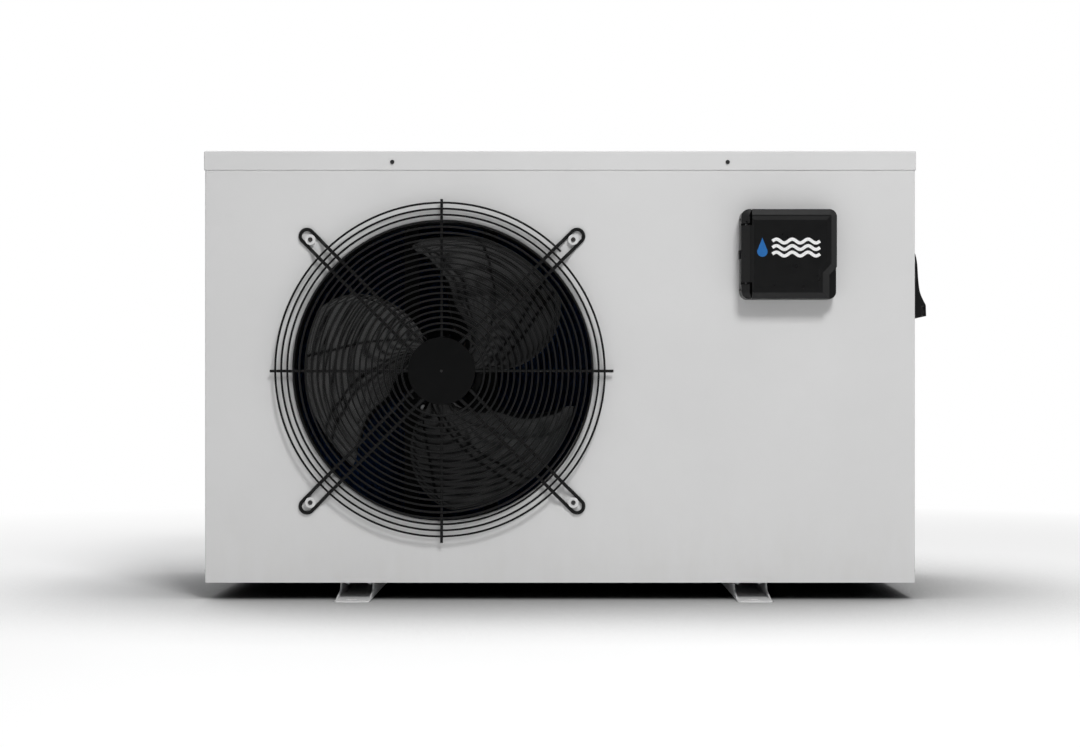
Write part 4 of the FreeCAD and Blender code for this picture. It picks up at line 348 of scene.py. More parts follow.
CABINET_GREY = (0.61, 0.61, 0.61)
# Where the painted shade in the outlet's throat lies: its radius, and the depth behind the front where it begins
THROAT_SHADE_RADIUS = 219.5 * MM
LIP_DEPTH = 1 * MM
OUTLET = (joint_at["fan_spin"], THROAT_SHADE_RADIUS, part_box("front_panel")[0].y + LIP_DEPTH)
paints = {
    "cabinet_paint": powder_coat("cabinet_paint", CABINET_GREY),
    "cabinet_front": powder_coat("cabinet_front", CABINET_GREY, OUTLET),
    "black_plastic": moulded_plastic(
        "black_plastic", (0.0022, 0.0023, 0.0025), 0.00004, (0.27, 0.38), mirror=0.32
    ),
    "guard_coating": coated_wire("guard_coating", (0.0035, 0.0036, 0.0038)),
    "guard_plate": moulded_plastic(
        "guard_plate", (0.0024, 0.0025, 0.0026), 0.00003, (0.35, 0.5), 900.0, mirror=0.1
    ),
    "fan_plastic": moulded_plastic(
        "fan_plastic", (0.003, 0.0031, 0.0033), 0.000006, (0.06, 0.12), 900.0
    ),
    "galvanised": zinc_sheet("galvanised", (0.50, 0.51, 0.52)),
    "fin_coating": fin_metal("fin_coating", (0.02, 0.09, 0.28)),
    "copper": turned_metal("copper", (0.78, 0.36, 0.20), (0.22, 0.42), 0.5),
    "vessel_paint": enamel("vessel_paint", (0.006, 0.006, 0.0065), roughness=(0.4, 0.55), mirror=0.15),
    "pvc": moulded_plastic("pvc", (0.10, 0.105, 0.11), 0.00003, (0.3, 0.42)),
    "pvc_white": moulded_plastic("pvc_white", (0.62, 0.62, 0.59), 0.00003, (0.26, 0.4)),
    "rubber": moulded_plastic("rubber", (0.018, 0.018, 0.018), 0.00008, (0.6, 0.8), 700.0),
    "screw_black": enamel("screw_black", (0.02, 0.02, 0.021), 0.00002, (0.3, 0.45)),
    "zinc": turned_metal("zinc", (0.55, 0.55, 0.56), (0.28, 0.45), 0.7),
    "motor_steel": enamel("motor_steel", (0.012, 0.012, 0.013), 0.00004, (0.4, 0.55), mirror=0.25),
    "circuit": circuit_laminate("circuit"),
    "terminal_plastic": moulded_plastic("terminal_plastic", (0.50, 0.47, 0.38)),
    "display_window": dark_window("display_window"),
    "button_plastic": moulded_plastic(
        "button_plastic", (0.05, 0.051, 0.053), 0.00004, (0.4, 0.5), mirror=0.3
    ),
    "gauge_metal": turned_metal("gauge_metal", (0.62, 0.62, 0.62), (0.1, 0.22), 0.8),
    "gauge_glass": clear_glass("gauge_glass"),
    "needle_paint": enamel("needle_paint", (0.55, 0.03, 0.02), 0.00001, (0.3, 0.4)),
    "brass_fitting": turned_metal("brass_fitting", (0.72, 0.52, 0.22), (0.2, 0.36), 0.55),
    "white_ink": printed_ink("white_ink", (0.80, 0.80, 0.80)),
    "blue_ink": printed_ink("blue_ink", (0.01, 0.12, 0.37)),
    "red_ink": printed_ink("red_ink", (0.50, 0.03, 0.02)),
    "black_ink": printed_ink("black_ink", (0.01, 0.01, 0.01)),
    "lit_digits": printed_ink("lit_digits", (0.35, 0.75, 0.95), 1.4),
    "dial_card": printed_ink("dial_card", (0.78, 0.78, 0.76)),
    "plate_metal": turned_metal("plate_metal", (0.55, 0.56, 0.57), (0.3, 0.42), 0.85, 0.8),
}

paint_of_node = {entry["node"]: entry["material_slot"] for entry in frame["record"]["subparts"]}
# The front panel's paint carries painted shade in the outlet's throat
paint_of_node["front_panel"] = "cabinet_front"
paint_of_node["guard_disc"] = "guard_plate"
paint_of_node["cover_hinge_pins"] = "screw_black"
for node, paint in paint_of_node.items():
    for material_slot in nodes[node].material_slots:
        material_slot.material = paints[paint]


# ---------------------------------------------------------------- mesh helpers

SMOOTH_ANGLE = math.radians(35.0)


def mesh_object(name, bm, paint, body):
    """Turns a bmesh into a named piece that rides on a body.
    """
    bmesh.ops.recalc_face_normals(bm, faces=bm.faces)
    mesh = bpy.data.meshes.new(name)
    bm.to_mesh(mesh)
    bm.free()
    piece = bpy.data.objects.new(name, mesh)
    bpy.context.scene.collection.objects.link(piece)
    mesh.materials.append(paints[paint])
    for polygon in mesh.polygons:
        polygon.use_smooth = True
    mesh.set_sharp_from_angle(angle=SMOOTH_ANGLE)
    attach(piece, body)
    return piece


def add_prism(bm, outline, thickness):
    """Closed prism from a planar loop of points, extruded by a vector."""
    front = [bm.verts.new(point) for point in outline]
    back = [bm.verts.new(point + thickness) for point in outline]
    bm.faces.new(front)
    bm.faces.new(list(reversed(back)))
    for index in range(len(front)):
        following = (index + 1) % len(front)
        bm.faces.new((front[index], back[index], back[following], front[following]))


def lathe_ring(bm, centre, radius, y, segments):
    """One ring of vertices about the Y axis through the centre."""
    ring = []
    for step in range(segments):
        angle = 2 * math.pi * step / segments
        point = (centre.x + radius * math.cos(angle), y, centre.z + radius * math.sin(angle))
        ring.append(bm.verts.new(point))
    return ring


def add_lathe(bm, centre, profile, segments):
    """Closed solid of revolution; the profile is (radius, y) pairs with both ends on the axis."""
    rings = []
    for radius, y in profile:
        rings.append(lathe_ring(bm, centre, radius, y, segments if radius else 1))
    for first, second in zip(rings, rings[1:]):
        for step in range(segments):
            following = (step + 1) % segments
            corners = [first[step % len(first)], first[following % len(first)]]
            corners += [second[following % len(second)], second[step % len(second)]]
            unique = list(dict.fromkeys(corners))
            bm.faces.new(unique)


def add_hollow_lathe(bm, centre, section, segments=72):
    """Ring-shaped solid of revolution; the section is a closed loop of (radius, y) pairs."""
    rings = [lathe_ring(bm, centre, radius, y, segments) for radius, y in section]
    for index, ring in enumerate(rings):
        following = rings[(index + 1) % len(rings)]
        for step in range(segments):
            n = (step + 1) % segments
            bm.faces.new((ring[step], ring[n], following[n], following[step]))


# ---------------------------------------------------------------- fan wheel

FAN_AXIS = joint_at["fan_spin"]
FAN_RADIUS = 197.5 * MM
HUB_RADIUS = 44.0 * MM
HUB_FRONT = -165.0 * MM
HUB_BACK = -105.0 * MM
HUB_WALL = 3.5 * MM
HUB_FACE = 4.5 * MM
SHAFT_BORE = 6.1 * MM
BOSS_RADIUS = 13 * MM
BLADES = 3
BLADE_THICKNESS = 3.4 * MM
BLADE_SETBACK = 1.5 * MM
EDGE_TAPER = 0.035
TIP_TAPER = 0.03
BLADE_CAMBER = 7 * MM
TIP_ROUNDING = 24.0 * MM

# Degrees from +X of the two long edges of a blade, at five even steps from hub to tip
TRAILING_EDGE = (-120.0, -119.0, -113.5, -104.0, -92.0)
LEADING_EDGE = (-38.0, -33.0, -30.0, -21.5, -13.0)


def eased(samples, position):
    """Catmull-Rom value through evenly spaced samples over position 0..1."""
    scaled = position * (len(samples) - 1)
    index = min(int(scaled), len(samples) - 2)
    t = scaled - index
    before = samples[max(index - 1, 0)]
    start = samples[index]
    end = samples[index + 1]
    after = samples[min(index + 2, len(samples) - 1)]
    return 0.5 * (
        2 * start
        + (end - before) * t
        + (2 * before - 5 * start + 4 * end - after) * t ** 2
        + (3 * start - before - 3 * end + after) * t ** 3
    )


def blade_point(span, chord, turn, side):
    """Point on the front (side 0) or back (side 1) skin of a blade."""
    trailing = eased(TRAILING_EDGE, span)
    leading = eased(LEADING_EDGE, span)
    height = FAN_RADIUS - HUB_RADIUS + 2 * MM
    radius = FAN_RADIUS - height * (1 - span)
    past_corner = max(0.0, 1 - (1 - span) * height / TIP_ROUNDING)
    corner = math.degrees(TIP_ROUNDING / FAN_RADIUS) * (1 - math.sqrt(1 - past_corner ** 2))
    trailing += corner
    leading -= 0.5 * corner
    angle = math.radians(trailing + (leading - trailing) * chord + turn)
    trailing_y = HUB_FRONT + (3 - 22 * span) * MM
    leading_y = HUB_BACK - (8 + 10 * span) * MM
    y = trailing_y + (leading_y - trailing_y) * chord - BLADE_CAMBER * math.sin(math.pi * chord)
    rounding = min(1.0, min(chord, 1 - chord) / EDGE_TAPER, (1 - span) / TIP_TAPER + 0.25)
    thickness = BLADE_THICKNESS * math.sqrt(max(rounding, 0.05))
    y += BLADE_SETBACK + (side - 0.5) * thickness
    return Vector((FAN_AXIS.x + radius * math.cos(angle), y, FAN_AXIS.z + radius * math.sin(angle)))


def eased_row(share):
    """Spreads the rows of a blade so that they crowd toward the rounded tip."""
    return 1 - (1 - share) ** 1.8


def add_blade(bm, turn, across=34, along=30):
    """Closed blade with a front and a back skin, turned about the fan's axis by an angle in degrees."""
    skins = []
    for side in (0, 1):
        skin = []
        for i in range(along + 1):
            span = eased_row(i / along)
            row = [blade_point(span, j / across, turn, side) for j in range(across + 1)]
            skin.append([bm.verts.new(point) for point in row])
        skins.append(skin)
    for skin in skins:
        for i in range(along):
            for j in range(across):
                bm.faces.new((skin[i][j], skin[i][j + 1], skin[i + 1][j + 1], skin[i + 1][j]))
    front, back = skins
    border = [(0, j) for j in range(across)] + [(i, across) for i in range(along)]
    border += [(along, j) for j in range(across, 0, -1)] + [(i, 0) for i in range(along, 0, -1)]
    for index, (i, j) in enumerate(border):
        k, m = border[(index + 1) % len(border)]
        bm.faces.new((front[i][j], back[i][j], back[k][m], front[k][m]))


def fan_wheel():
    """Three blades on a hollow hub with a central boss."""
    bm = bmesh.new()
    for index in range(BLADES):
        add_blade(bm, 360 * index / BLADES)
    hub = [
        (SHAFT_BORE, HUB_FRONT + 1.5 * MM),
        (15 * MM, HUB_FRONT + 1.5 * MM),
        (16 * MM, HUB_FRONT + 0.3 * MM),
        (38 * MM, HUB_FRONT),
        (42 * MM, HUB_FRONT + 1.2 * MM),
        (HUB_RADIUS, HUB_FRONT + HUB_FACE),
        (HUB_RADIUS, HUB_BACK - 1 * MM),
        (HUB_RADIUS - 1 * MM, HUB_BACK),
        (HUB_RADIUS - HUB_WALL, HUB_BACK),
        (HUB_RADIUS - HUB_WALL, HUB_FRONT + HUB_FACE),
        (BOSS_RADIUS, HUB_FRONT + HUB_FACE),
        (BOSS_RADIUS, HUB_BACK),
        (SHAFT_BORE, HUB_BACK),
    ]
    add_hollow_lathe(bm, FAN_AXIS, hub)
    wheel = mesh_object("fan_wheel", bm, "fan_plastic", "fan_rotor")
    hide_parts("fan")


fan_wheel()


# ---------------------------------------------------------------- evaporator coil

FIN_PITCH = 2.1 * MM
FIN_THICKNESS = 0.25 * MM
FIN_WAVES = 6
FIN_RIPPLE = 1.1 * MM
FIN_LEAN = 0.18
COIL_DEPTH = 38.0 * MM
COIL_BEND = 69.0 * MM


def coil_fins():
    """Thin corrugated fins along the L-shaped run, each a closed sheet."""
    low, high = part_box("evaporator_fins")
    half = COIL_DEPTH / 2
    centre_x = low.x + half
    centre_y = high.y - half
    left_run = centre_y - COIL_BEND - low.y
    bend_run = COIL_BEND * math.pi / 2
    total = left_run + bend_run + high.x - centre_x - COIL_BEND
    count = int(total / FIN_PITCH)
    bm = bmesh.new()
    for index in range(count):
        distance = (index + 0.5) * FIN_PITCH
        if distance < left_run:
            point = Vector((centre_x, low.y + distance, 0))
            outward = Vector((-1, 0, 0))
        elif distance < left_run + bend_run:
            angle = (distance - left_run) / COIL_BEND
            outward = Vector((-math.cos(angle), math.sin(angle), 0))
            point = Vector((centre_x + COIL_BEND, centre_y - COIL_BEND, 0)) + outward * COIL_BEND
        else:
            point = Vector((centre_x + COIL_BEND + distance - left_run - bend_run, centre_y, 0))
            outward = Vector((0, 1, 0))
        along = Vector((outward.y, -outward.x, 0))
        lean = random.uniform(-FIN_LEAN, FIN_LEAN) * MM
        outline = []
        for step in range(FIN_WAVES + 1):
            across = -half + 2 * half * step / FIN_WAVES
            ripple = FIN_RIPPLE * (-1) ** step
            outline.append(point + outward * across + along * (ripple + lean))
        closed = outline + [p + along * FIN_THICKNESS for p in reversed(outline)]
        closed = [Vector((p.x, p.y, low.z)) for p in closed]
        bottom = [bm.verts.new(p) for p in closed]
        top = [bm.verts.new(p + Vector((0, 0, high.z - low.z))) for p in closed]
        for step in range(len(closed)):
            n = (step + 1) % len(closed)
            bm.faces.new((bottom[step], bottom[n], top[n], top[step]))
        last = len(closed) - 1
        for step in range(FIN_WAVES):
            for ring in (bottom, top):
                bm.faces.new((ring[step], ring[step + 1], ring[last - step - 1], ring[last - step]))
    fins = mesh_object("coil_fins", bm, "fin_coating", "cabinet")
    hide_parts("evaporator_fins")


coil_fins()


# ---------------------------------------------------------------- printed marks and small fittings

FRONT_FACING = -1
REAR_FACING = 1
INK = 0.15


class Plane:
    """Drawing plane parallel to the front: u to the reader's right, v up, w toward the reader, in mm."""

    def __init__(self, x, y, z, facing):
        self.origin = Vector((x, y, z))
        self.right = Vector((-facing, 0, 0))
        self.up = Vector((0, 0, 1))
        self.normal = Vector((0, facing, 0))

    def at(self, u, v, w=0.0):
        return self.origin + (self.right * u + self.up * v + self.normal * w) * MM


def add_patch(bm, plane, outline, thickness=INK, base=0.0):
    """Flat patch with a closed outline, raised from the plane."""
    add_prism(bm, [plane.at(u, v, base) for u, v in outline], plane.normal * thickness * MM)


def add_stroke(bm, plane, path, width, thickness=INK, base=0.0, closed=False):
    """Ribbon of even width along a path, as a closed solid."""
    rows = []
    last = len(path) - 1
    for index, (u, v) in enumerate(path):
        before = path[index - 1] if closed or index > 0 else path[0]
        after = path[(index + 1) % len(path)] if closed or index < last else path[last]
        run = math.hypot(after[0] - before[0], after[1] - before[1])
        side = (-(after[1] - before[1]) / run * width / 2, (after[0] - before[0]) / run * width / 2)
        corners = []
        for sign, w in ((1, base), (1, base + thickness), (-1, base + thickness), (-1, base)):
            corners.append(bm.verts.new(plane.at(u + sign * side[0], v + sign * side[1], w)))
        rows.append(corners)
    pairs = list(zip(rows, rows[1:]))
    if closed:
        pairs.append((rows[-1], rows[0]))
    else:
        bm.faces.new(rows[0])
        bm.faces.new(list(reversed(rows[-1])))
    for first, second in pairs:
        for k in range(4):
            n = (k + 1) % 4
            bm.faces.new((first[k], second[k], second[n], first[n]))


def arc(u, v, radius, start=0.0, end=360.0, steps=48):
    """Points of an arc; a full circle leaves out its repeated last point."""
    count = steps if abs(end - start) >= 360 else steps + 1
    angles = [math.radians(start + (end - start) * step / steps) for step in range(count)]
    return [(u + radius * math.cos(angle), v + radius * math.sin(angle)) for angle in angles]


def add_number(bm, plane, text, size, u, v, thickness=INK, base=0.0):
    """Raised digits centred on a point of the plane."""
    curve = bpy.data.curves.new("digits", "FONT")
    curve.body = text
    curve.size = size * MM
    curve.extrude = thickness / 2 * MM
    curve.align_x = "CENTER"
    curve.align_y = "CENTER"
    holder = bpy.data.objects.new("digits", curve)
    bpy.context.scene.collection.objects.link(holder)
    mesh = holder.evaluated_get(bpy.context.evaluated_depsgraph_get()).to_mesh()
    turn = Matrix((plane.right, plane.up, plane.normal)).transposed().to_4x4()
    mesh.transform(Matrix.Translation(plane.at(u, v, base + thickness / 2)) @ turn)
    bm.from_mesh(mesh)
    bpy.data.objects.remove(holder)
    bpy.data.curves.remove(curve)


# Mark on the controller's cover: a drop beside three waves

COVER_LOW, COVER_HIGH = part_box("controller_cover")
RECESS_DEPTH = 1.1 * MM
MARK_OFFSET_X = -1.0 * MM
MARK_OFFSET_Z = 8.5 * MM
MARK_THICKNESS = 0.2
DROP_U = -37.0
DROP_TOP = 14.0
BELLY_RADIUS = 7.2
BELLY_V = -5.6
WAVE_START = -23.0
WAVE_RUN = 66
WAVE_LENGTH = 22.0
WAVE_SWING = 2.6
WAVE_WIDTH = 4.4
WAVE_LEVELS = (9.0, 0.0, -9.0)


def cover_mark():
    """Blue drop and three white waves in the recess of the cover."""
    middle_x = (COVER_LOW.x + COVER_HIGH.x) / 2 + MARK_OFFSET_X
    middle_z = (COVER_LOW.z + COVER_HIGH.z) / 2 + MARK_OFFSET_Z
    plane = Plane(middle_x, COVER_LOW.y + RECESS_DEPTH, middle_z, FRONT_FACING)
    belly = arc(DROP_U, BELLY_V, BELLY_RADIUS, -215.0, 35.0, 40)
    flank = ((0.62, 2.6), (0.38, 6.4), (0.17, 10.2))
    right_flank = [(DROP_U + reach * BELLY_RADIUS, height) for reach, height in flank]
    left_flank = [(2 * DROP_U - u, v) for u, v in reversed(right_flank)]
    bm = bmesh.new()
    add_patch(bm, plane, belly + right_flank + [(DROP_U, DROP_TOP)] + left_flank, MARK_THICKNESS)
    mesh_object("cover_mark_drop", bm, "blue_ink", "flip_cover")
    bm = bmesh.new()
    for level in WAVE_LEVELS:
        path = []
        for step in range(WAVE_RUN + 1):
            height = WAVE_SWING * math.sin(2 * math.pi * step / WAVE_LENGTH)
            path.append((WAVE_START + step, level + height))
        add_stroke(bm, plane, path, WAVE_WIDTH, MARK_THICKNESS)
    mesh_object("cover_mark_waves", bm, "white_ink", "flip_cover")


# Signs on the four keys and on the display

SIGN_LINE = 0.75


def key_plane(node):
    """Drawing plane on the front face of a key."""
    low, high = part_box(node)
    return Plane((low.x + high.x) / 2, low.y, (low.z + high.z) / 2, FRONT_FACING)


def key_signs():
    """Power, mode, down and up signs, each on its own key."""
    bm = bmesh.new()
    plane = key_plane("button_power")
    add_stroke(bm, plane, arc(0, -0.2, 2.4, 120.0, 420.0), SIGN_LINE)
    add_stroke(bm, plane, [(0, 0.6), (0, 3.2)], SIGN_LINE)
    mesh_object("sign_power_key", bm, "white_ink", "power_key")
    bm = bmesh.new()
    plane = key_plane("button_mode")
    add_stroke(bm, plane, arc(0, 0, 1.35), SIGN_LINE, closed=True)
    for ray in range(8):
        angle = math.radians(45 * ray)
        path = [(reach * math.cos(angle), reach * math.sin(angle)) for reach in (2.3, 3.3)]
        add_stroke(bm, plane, path, SIGN_LINE * 0.8)
    mesh_object("sign_mode_key", bm, "white_ink", "mode_key")
    for name, direction in (("down", -1), ("up", 1)):
        bm = bmesh.new()
        chevron = [(-2.6, -1.4 * direction), (0, 1.4 * direction), (2.6, -1.4 * direction)]
        add_stroke(bm, key_plane("button_" + name), chevron, SIGN_LINE * 1.2)
        mesh_object("sign_" + name + "_key", bm, "white_ink", name + "_key")


def seven_segment(bm, plane, u, v, height, lit):
    """One digit from its lit segments, which are named by their place, such as upper left."""
    half_width = height * 0.26
    half = height / 2
    slant = 0.1
    gap = 0.35
    ends = {
        "top": ((-half_width, half), (half_width, half)),
        "upper right": ((half_width, half), (half_width, 0)),
        "lower right": ((half_width, 0), (half_width, -half)),
        "bottom": ((-half_width, -half), (half_width, -half)),
        "lower left": ((-half_width, 0), (-half_width, -half)),
        "upper left": ((-half_width, half), (-half_width, 0)),
        "middle": ((-half_width, 0), (half_width, 0)),
    }
    for segment in lit:
        (u0, v0), (u1, v1) = ends[segment]
        length = math.hypot(u1 - u0, v1 - v0)
        step_u = (u1 - u0) / length
        step_v = (v1 - v0) / length
        path = []
        for along in (gap * 1.6, length - gap * 1.6):
            point = (u0 + step_u * along, v0 + step_v * along)
            path.append((u + point[0] + slant * point[1], v + point[1]))
        add_stroke(bm, plane, path, height * 0.105, 0.1)


def display_digits():
    """A temperature of 28 degrees on the front of the display window."""
    low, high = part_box("display_lens")
    plane = Plane((low.x + high.x) / 2, low.y, (low.z + high.z) / 2, FRONT_FACING)
    bm = bmesh.new()
    two = ("top", "upper right", "middle", "lower left", "bottom")
    eight = two + ("upper left", "lower right")
    seven_segment(bm, plane, -11.0, 0.0, 15.0, two)
    seven_segment(bm, plane, 2.5, 0.0, 15.0, eight)
    add_stroke(bm, plane, arc(14.0, 6.0, 1.7), 0.9, 0.1, closed=True)
    mesh_object("display_digits", bm, "lit_digits", "cabinet")


# Pressure gauge dial

GAUGE = joint_at["pointer_swing"]
PANEL_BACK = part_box("rear_service_panel")[1].y
DIAL_SWEEP = 270.0
DIAL_MARKS = 20
MARKS_PER_NUMBER = 5
DIAL_TOP = 0.1
NUMBER_REACH = 13.4
CARD_MIDDLE = 12.05
CARD_WIDTH = 21.5
MARK_END = 20.6
RIM_LINE = 20.9


def gauge_dial():
    """Dial card with a scale from 0 to 4."""
    plane = Plane(GAUGE.x, PANEL_BACK, GAUGE.z, REAR_FACING)
    bm = bmesh.new()
    add_stroke(bm, plane, arc(0, 0, CARD_MIDDLE, steps=96), CARD_WIDTH, 0.7, -0.6, closed=True)
    mesh_object("gauge_dial_card", bm, "dial_card", "cabinet")
    bm = bmesh.new()
    for mark in range(DIAL_MARKS + 1):
        angle = math.radians(90 + DIAL_SWEEP / 2 - DIAL_SWEEP * mark / DIAL_MARKS)
        long_mark = mark % MARKS_PER_NUMBER == 0
        inner = 16.8 if long_mark else 18.6
        path = [(reach * math.cos(angle), reach * math.sin(angle)) for reach in (inner, MARK_END)]
        add_stroke(bm, plane, path, 0.7 if long_mark else 0.4, 0.1, DIAL_TOP)
        if long_mark:
            number_u = NUMBER_REACH * math.cos(angle)
            number_v = NUMBER_REACH * math.sin(angle)
            add_number(bm, plane, str(mark // MARKS_PER_NUMBER), 5.2, number_u, number_v, 0.1, DIAL_TOP)
    add_stroke(bm, plane, arc(0, 0, RIM_LINE, -45.0, 225.0, 72), 0.4, 0.1, DIAL_TOP)
    mesh_object("gauge_dial_scale", bm, "black_ink", "cabinet")


# Rear panel: coloured rings and arrows at the water ports, rubber edging, blank rating plate

SHEET = 1.0 * MM
# Radius and distance from the middle of the sheet, in mm, from the bore out and back to the groove
GROMMET_HALF = ((30.15, 3.0), (35.0, 3.0), (36.4, 2.2), (36.4, 0.55), (32.9, 0.55))
PLATE_X = 0.270
PLATE_Z = 0.300
PLATE_THICKNESS = 0.6
RULING = 0.08


def arrow(u, v, length, direction):
    """Solid arrow outline along u, pointing to the right for direction 1."""
    half = length / 2
    neck = half - 9
    stem = 2.6
    barb = 6.5
    corners = [(-half, -stem), (neck, -stem), (neck, -barb), (half, 0)]
    corners += [(neck, barb), (neck, stem), (-half, stem)]
    return [(u + direction * a, v + b) for a, b in corners]


def port_markings():
    """Blue ring and inward arrow at the inlet, red ring and outward arrow at the outlet."""
    for name, paint, slot, nut, direction in (
        ("inlet", "blue_ink", "fin_coating", "inlet_nut_turn", -1),
        ("outlet", "red_ink", "needle_paint", "outlet_nut_turn", 1),
    ):
        centre = joint_at[nut]
        plane = Plane(centre.x, PANEL_BACK, centre.z, REAR_FACING)
        bm = bmesh.new()
        add_stroke(bm, plane, arc(0, 0, 46.0, steps=96), 7.0, closed=True)
        add_patch(bm, plane, arrow(70.0, 0.0, 30.0, direction))
        mesh_object(name + "_port_marking", bm, paint, "cabinet")


def port_grommets():
    """Rubber edging that grips the sheet round each water port."""
    for name in ("inlet", "outlet"):
        centre = joint_at[name + "_nut_turn"]
        middle = PANEL_BACK - SHEET / 2
        behind = [(radius * MM, middle + reach * MM) for radius, reach in reversed(GROMMET_HALF)]
        ahead = [(radius * MM, middle - reach * MM) for radius, reach in GROMMET_HALF]
        bm = bmesh.new()
        add_hollow_lathe(bm, centre, ahead + behind)
        mesh_object(name + "_port_grommet", bm, "rubber", "cabinet")


def rating_plate():
    """Blank ruled plate held by four rivets."""
    plane = Plane(PLATE_X, PANEL_BACK, PLATE_Z, REAR_FACING)
    half_width = 45.0
    half_height = 30.0
    corner = 3.0
    outline = []
    for u, v, start in ((1, 1, 0), (-1, 1, 90), (-1, -1, 180), (1, -1, 270)):
        centre_u = u * (half_width - corner)
        centre_v = v * (half_height - corner)
        outline += arc(centre_u, centre_v, corner, start, start + 90, 8)
    bm = bmesh.new()
    add_patch(bm, plane, outline, PLATE_THICKNESS)
    mesh_object("rating_plate", bm, "plate_metal", "cabinet")
    bm = bmesh.new()
    frame_u = half_width - 5.5
    frame_v = half_height - 4.5
    border = [(-frame_u, -frame_v), (frame_u, -frame_v), (frame_u, frame_v), (-frame_u, frame_v)]
    for index in range(4):
        add_stroke(bm, plane, [border[index], border[(index + 1) % 4]], 0.5, RULING, PLATE_THICKNESS)
    for row in range(1, 6):
        level = -frame_v + 2 * frame_v * row / 6
        add_stroke(bm, plane, [(-frame_u, level), (frame_u, level)], 0.35, RULING, PLATE_THICKNESS)
    add_stroke(bm, plane, [(-4.0, -frame_v), (-4.0, frame_v)], 0.35, RULING, PLATE_THICKNESS)
    mesh_object("rating_plate_ruling", bm, "black_ink", "cabinet")
    bm = bmesh.new()
    for u in (-1, 1):
        for v in (-1, 1):
            x = plane.at(u * (half_width - 2.8), 0).x
            z = plane.at(0, v * (half_height - 2.8)).z
            y = PANEL_BACK + PLATE_THICKNESS * MM
            dome = [(0, y - 0.5 * MM), (1.6 * MM, y - 0.5 * MM), (1.6 * MM, y + 0.2 * MM)]
            dome += [(1.2 * MM, y + 0.6 * MM), (0.6 * MM, y + 0.8 * MM), (0, y + 0.85 * MM)]
            add_lathe(bm, Vector((x, 0, z)), dome, 24)
    mesh_object("rating_plate_rivets", bm, "zinc", "cabinet")


def guard_centre_pin():
    """Small dark rivet head in the middle of the guard's disc."""
    plane = Plane(FAN_AXIS.x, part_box("guard_disc")[0].y, FAN_AXIS.z, FRONT_FACING)
    bm = bmesh.new()
    add_patch(bm, plane, arc(0, 0, 1.8), 0.1)
    add_patch(bm, plane, arc(0, 0, 1.2), 0.2, 0.1)
    mesh_object("guard_centre_pin", bm, "black_ink", "cabinet")


cover_mark()
key_signs()
guard_centre_pin()
display_digits()
gauge_dial()
port_markings()
port_grommets()
rating_plate()


# ---------------------------------------------------------------- stage, light and camera

AMBIENT = 0.32
MIRRORED_AHEAD = 0.22
MIRRORED_ASIDE = 1.0
FLOOR_WHITE_FROM = 0.75
FLOOR_WHITE_TO = 2.2
SHADE_REACH = 0.5
SHADE_STRENGTH = 1.4
PANELS_BEGIN = 0.92
PANELS_FULL = 0.45
SENSOR_WIDTH = 36.0
CAMERA_DISTANCE = 2.6
CAMERA_HEIGHT = 0.284
IMAGE_WIDTH_AT_FRONT = 1.5206


def studio_floor_paint():
    """Matt white paper with a painted contact shadow: the camera sees it darker near the object and plain white
    far from it.
    """
    s = Shader("studio_floor")
    paper = s.blend(s.uneven(1.2, 0.0, 1.0, detail=2.0), (0.925, 0.925, 0.925), (0.93, 0.93, 0.93))
    seen = s.add("ShaderNodeLightPath").outputs["Is Camera Ray"]
    # Painted shadow: for camera rays the paper is darkened toward black where ambient occlusion finds the object
    # close by
    occlusion = s.add("ShaderNodeAmbientOcclusion", samples=8)
    occlusion.inputs["Distance"].default_value = SHADE_REACH
    openness = s.power(occlusion.outputs["AO"], SHADE_STRENGTH)
    tone = s.blend(s.multiply(s.remap(openness, 0.0, 1.0, 1.0, 0.0), seen), paper, (0.0, 0.0, 0.0))
    material = s.finish(tone, s.uneven(8.0, 0.75, 0.85), Specular_IOR_Level=0.0)
    reach = s.add("ShaderNodeVectorMath", operation="LENGTH")
    s.link(s.coordinates, reach.inputs[0])
    far = s.remap(reach.outputs["Value"], FLOOR_WHITE_FROM, FLOOR_WHITE_TO, 0.0, 1.0)
    glow = s.add("ShaderNodeEmission")
    mixed = s.add("ShaderNodeMixShader")
    s.link(s.multiply(far, seen), mixed.inputs["Fac"])
    s.link(s.surface.outputs["BSDF"], mixed.inputs[1])
    s.link(glow.outputs["Emission"], mixed.inputs[2])
    s.link(mixed.outputs["Shader"], s.tree.nodes["Material Output"].inputs["Surface"])
    return material


def build_floor():
    """Wide plain floor under the object."""
    bpy.ops.mesh.primitive_plane_add(size=60, location=(0, 0, 0))
    floor = bpy.context.object
    floor.name = "studio_floor"
    floor.data.materials.append(studio_floor_paint())


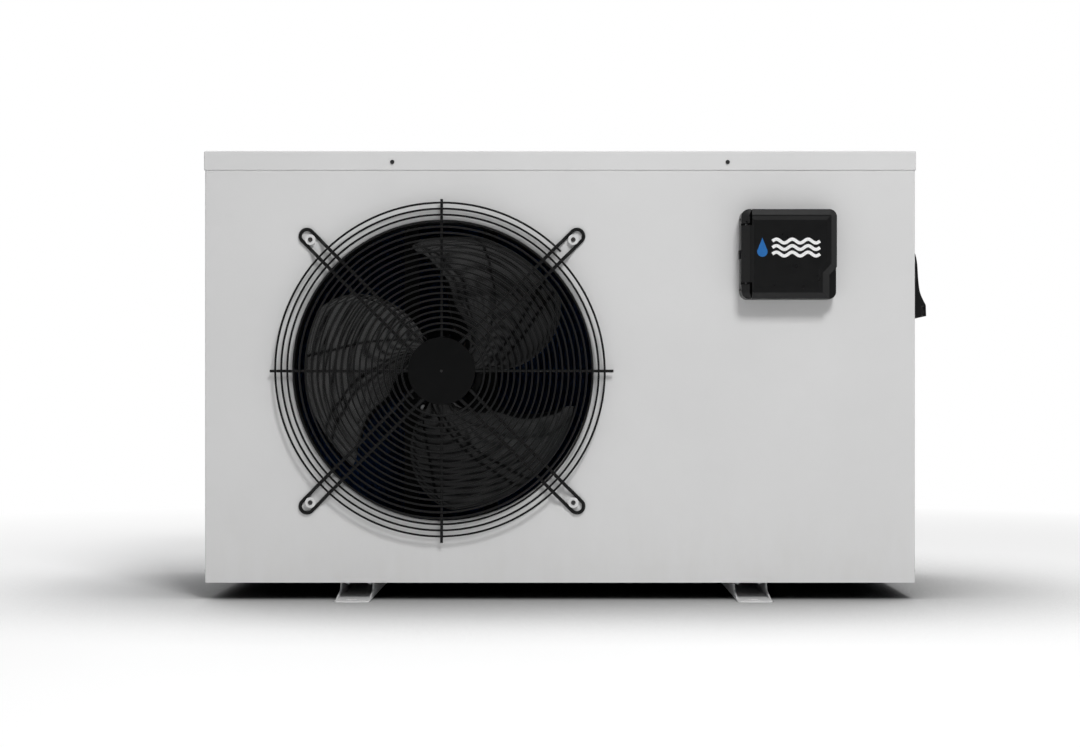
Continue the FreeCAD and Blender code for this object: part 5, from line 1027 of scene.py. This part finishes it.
def build_world():
    """White backdrop that lights softly and mirrors as bright panels above, below and at the sides."""
    world = bpy.data.worlds.new("studio")
    bpy.context.scene.world = world
    world.use_nodes = True
    tree = world.node_tree
    background = tree.nodes["Background"]
    background.inputs["Color"].default_value = (1.0, 1.0, 1.0, 1)
    rays = tree.nodes.new("ShaderNodeLightPath")
    direction = tree.nodes.new("ShaderNodeSeparateXYZ")
    tree.links.new(tree.nodes.new("ShaderNodeTexCoord").outputs["Generated"], direction.inputs["Vector"])
    ahead = tree.nodes.new("ShaderNodeMath")
    ahead.operation = "ABSOLUTE"
    tree.links.new(direction.outputs["Y"], ahead.inputs[0])
    panels = tree.nodes.new("ShaderNodeMapRange")
    panels.inputs["From Min"].default_value = PANELS_FULL
    panels.inputs["From Max"].default_value = PANELS_BEGIN
    panels.inputs["To Min"].default_value = MIRRORED_ASIDE
    panels.inputs["To Max"].default_value = MIRRORED_AHEAD
    tree.links.new(ahead.outputs["Value"], panels.inputs["Value"])
    mirrored = tree.nodes.new("ShaderNodeMapRange")
    mirrored.inputs["To Min"].default_value = AMBIENT
    tree.links.new(panels.outputs["Result"], mirrored.inputs["To Max"])
    tree.links.new(rays.outputs["Is Glossy Ray"], mirrored.inputs["Value"])
    seen = tree.nodes.new("ShaderNodeMapRange")
    seen.inputs["To Max"].default_value = 1.0
    tree.links.new(mirrored.outputs["Result"], seen.inputs["To Min"])
    tree.links.new(rays.outputs["Is Camera Ray"], seen.inputs["Value"])
    tree.links.new(seen.outputs["Result"], background.inputs["Strength"])


def area_light(name, position, target, size, power, mirrored=True):
    """Square softbox; mirrored tells whether shiny surfaces show it."""
    data = bpy.data.lights.new(name, "AREA")
    data.shape = "SQUARE"
    data.size = size
    data.energy = power
    light = bpy.data.objects.new(name, data)
    light.location = position
    light.visible_glossy = mirrored
    direction = Vector(target) - Vector(position)
    light.rotation_euler = direction.to_track_quat("-Z", "Y").to_euler()
    bpy.context.scene.collection.objects.link(light)


def build_camera():
    """Level camera in front of the cabinet's middle, a little under half its height."""
    low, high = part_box("front_panel")
    data = bpy.data.cameras.new("camera")
    data.sensor_width = SENSOR_WIDTH
    data.lens = SENSOR_WIDTH * CAMERA_DISTANCE / IMAGE_WIDTH_AT_FRONT
    data.shift_x = -0.0185
    data.shift_y = 0.0227
    camera = bpy.data.objects.new("camera", data)
    camera.location = ((low.x + high.x) / 2, low.y - CAMERA_DISTANCE, CAMERA_HEIGHT)
    camera.rotation_euler = (math.radians(90), 0, 0)
    bpy.context.scene.collection.objects.link(camera)
    bpy.context.scene.camera = camera


build_floor()
build_world()
area_light("overhead", (0.05, 0.35, 3.0), (0.0, 0.0, 0.0), 1.4, 29)
area_light("key", (0.7, -2.6, 2.6), (0.0, 0, 0.35), 0.8, 68, mirrored=False)
area_light("back_fill", (-1.8, 3.0, 2.0), (0, 0, 0.3), 2.2, 32)
build_camera()
bpy.context.scene.view_settings.view_transform = "Standard"
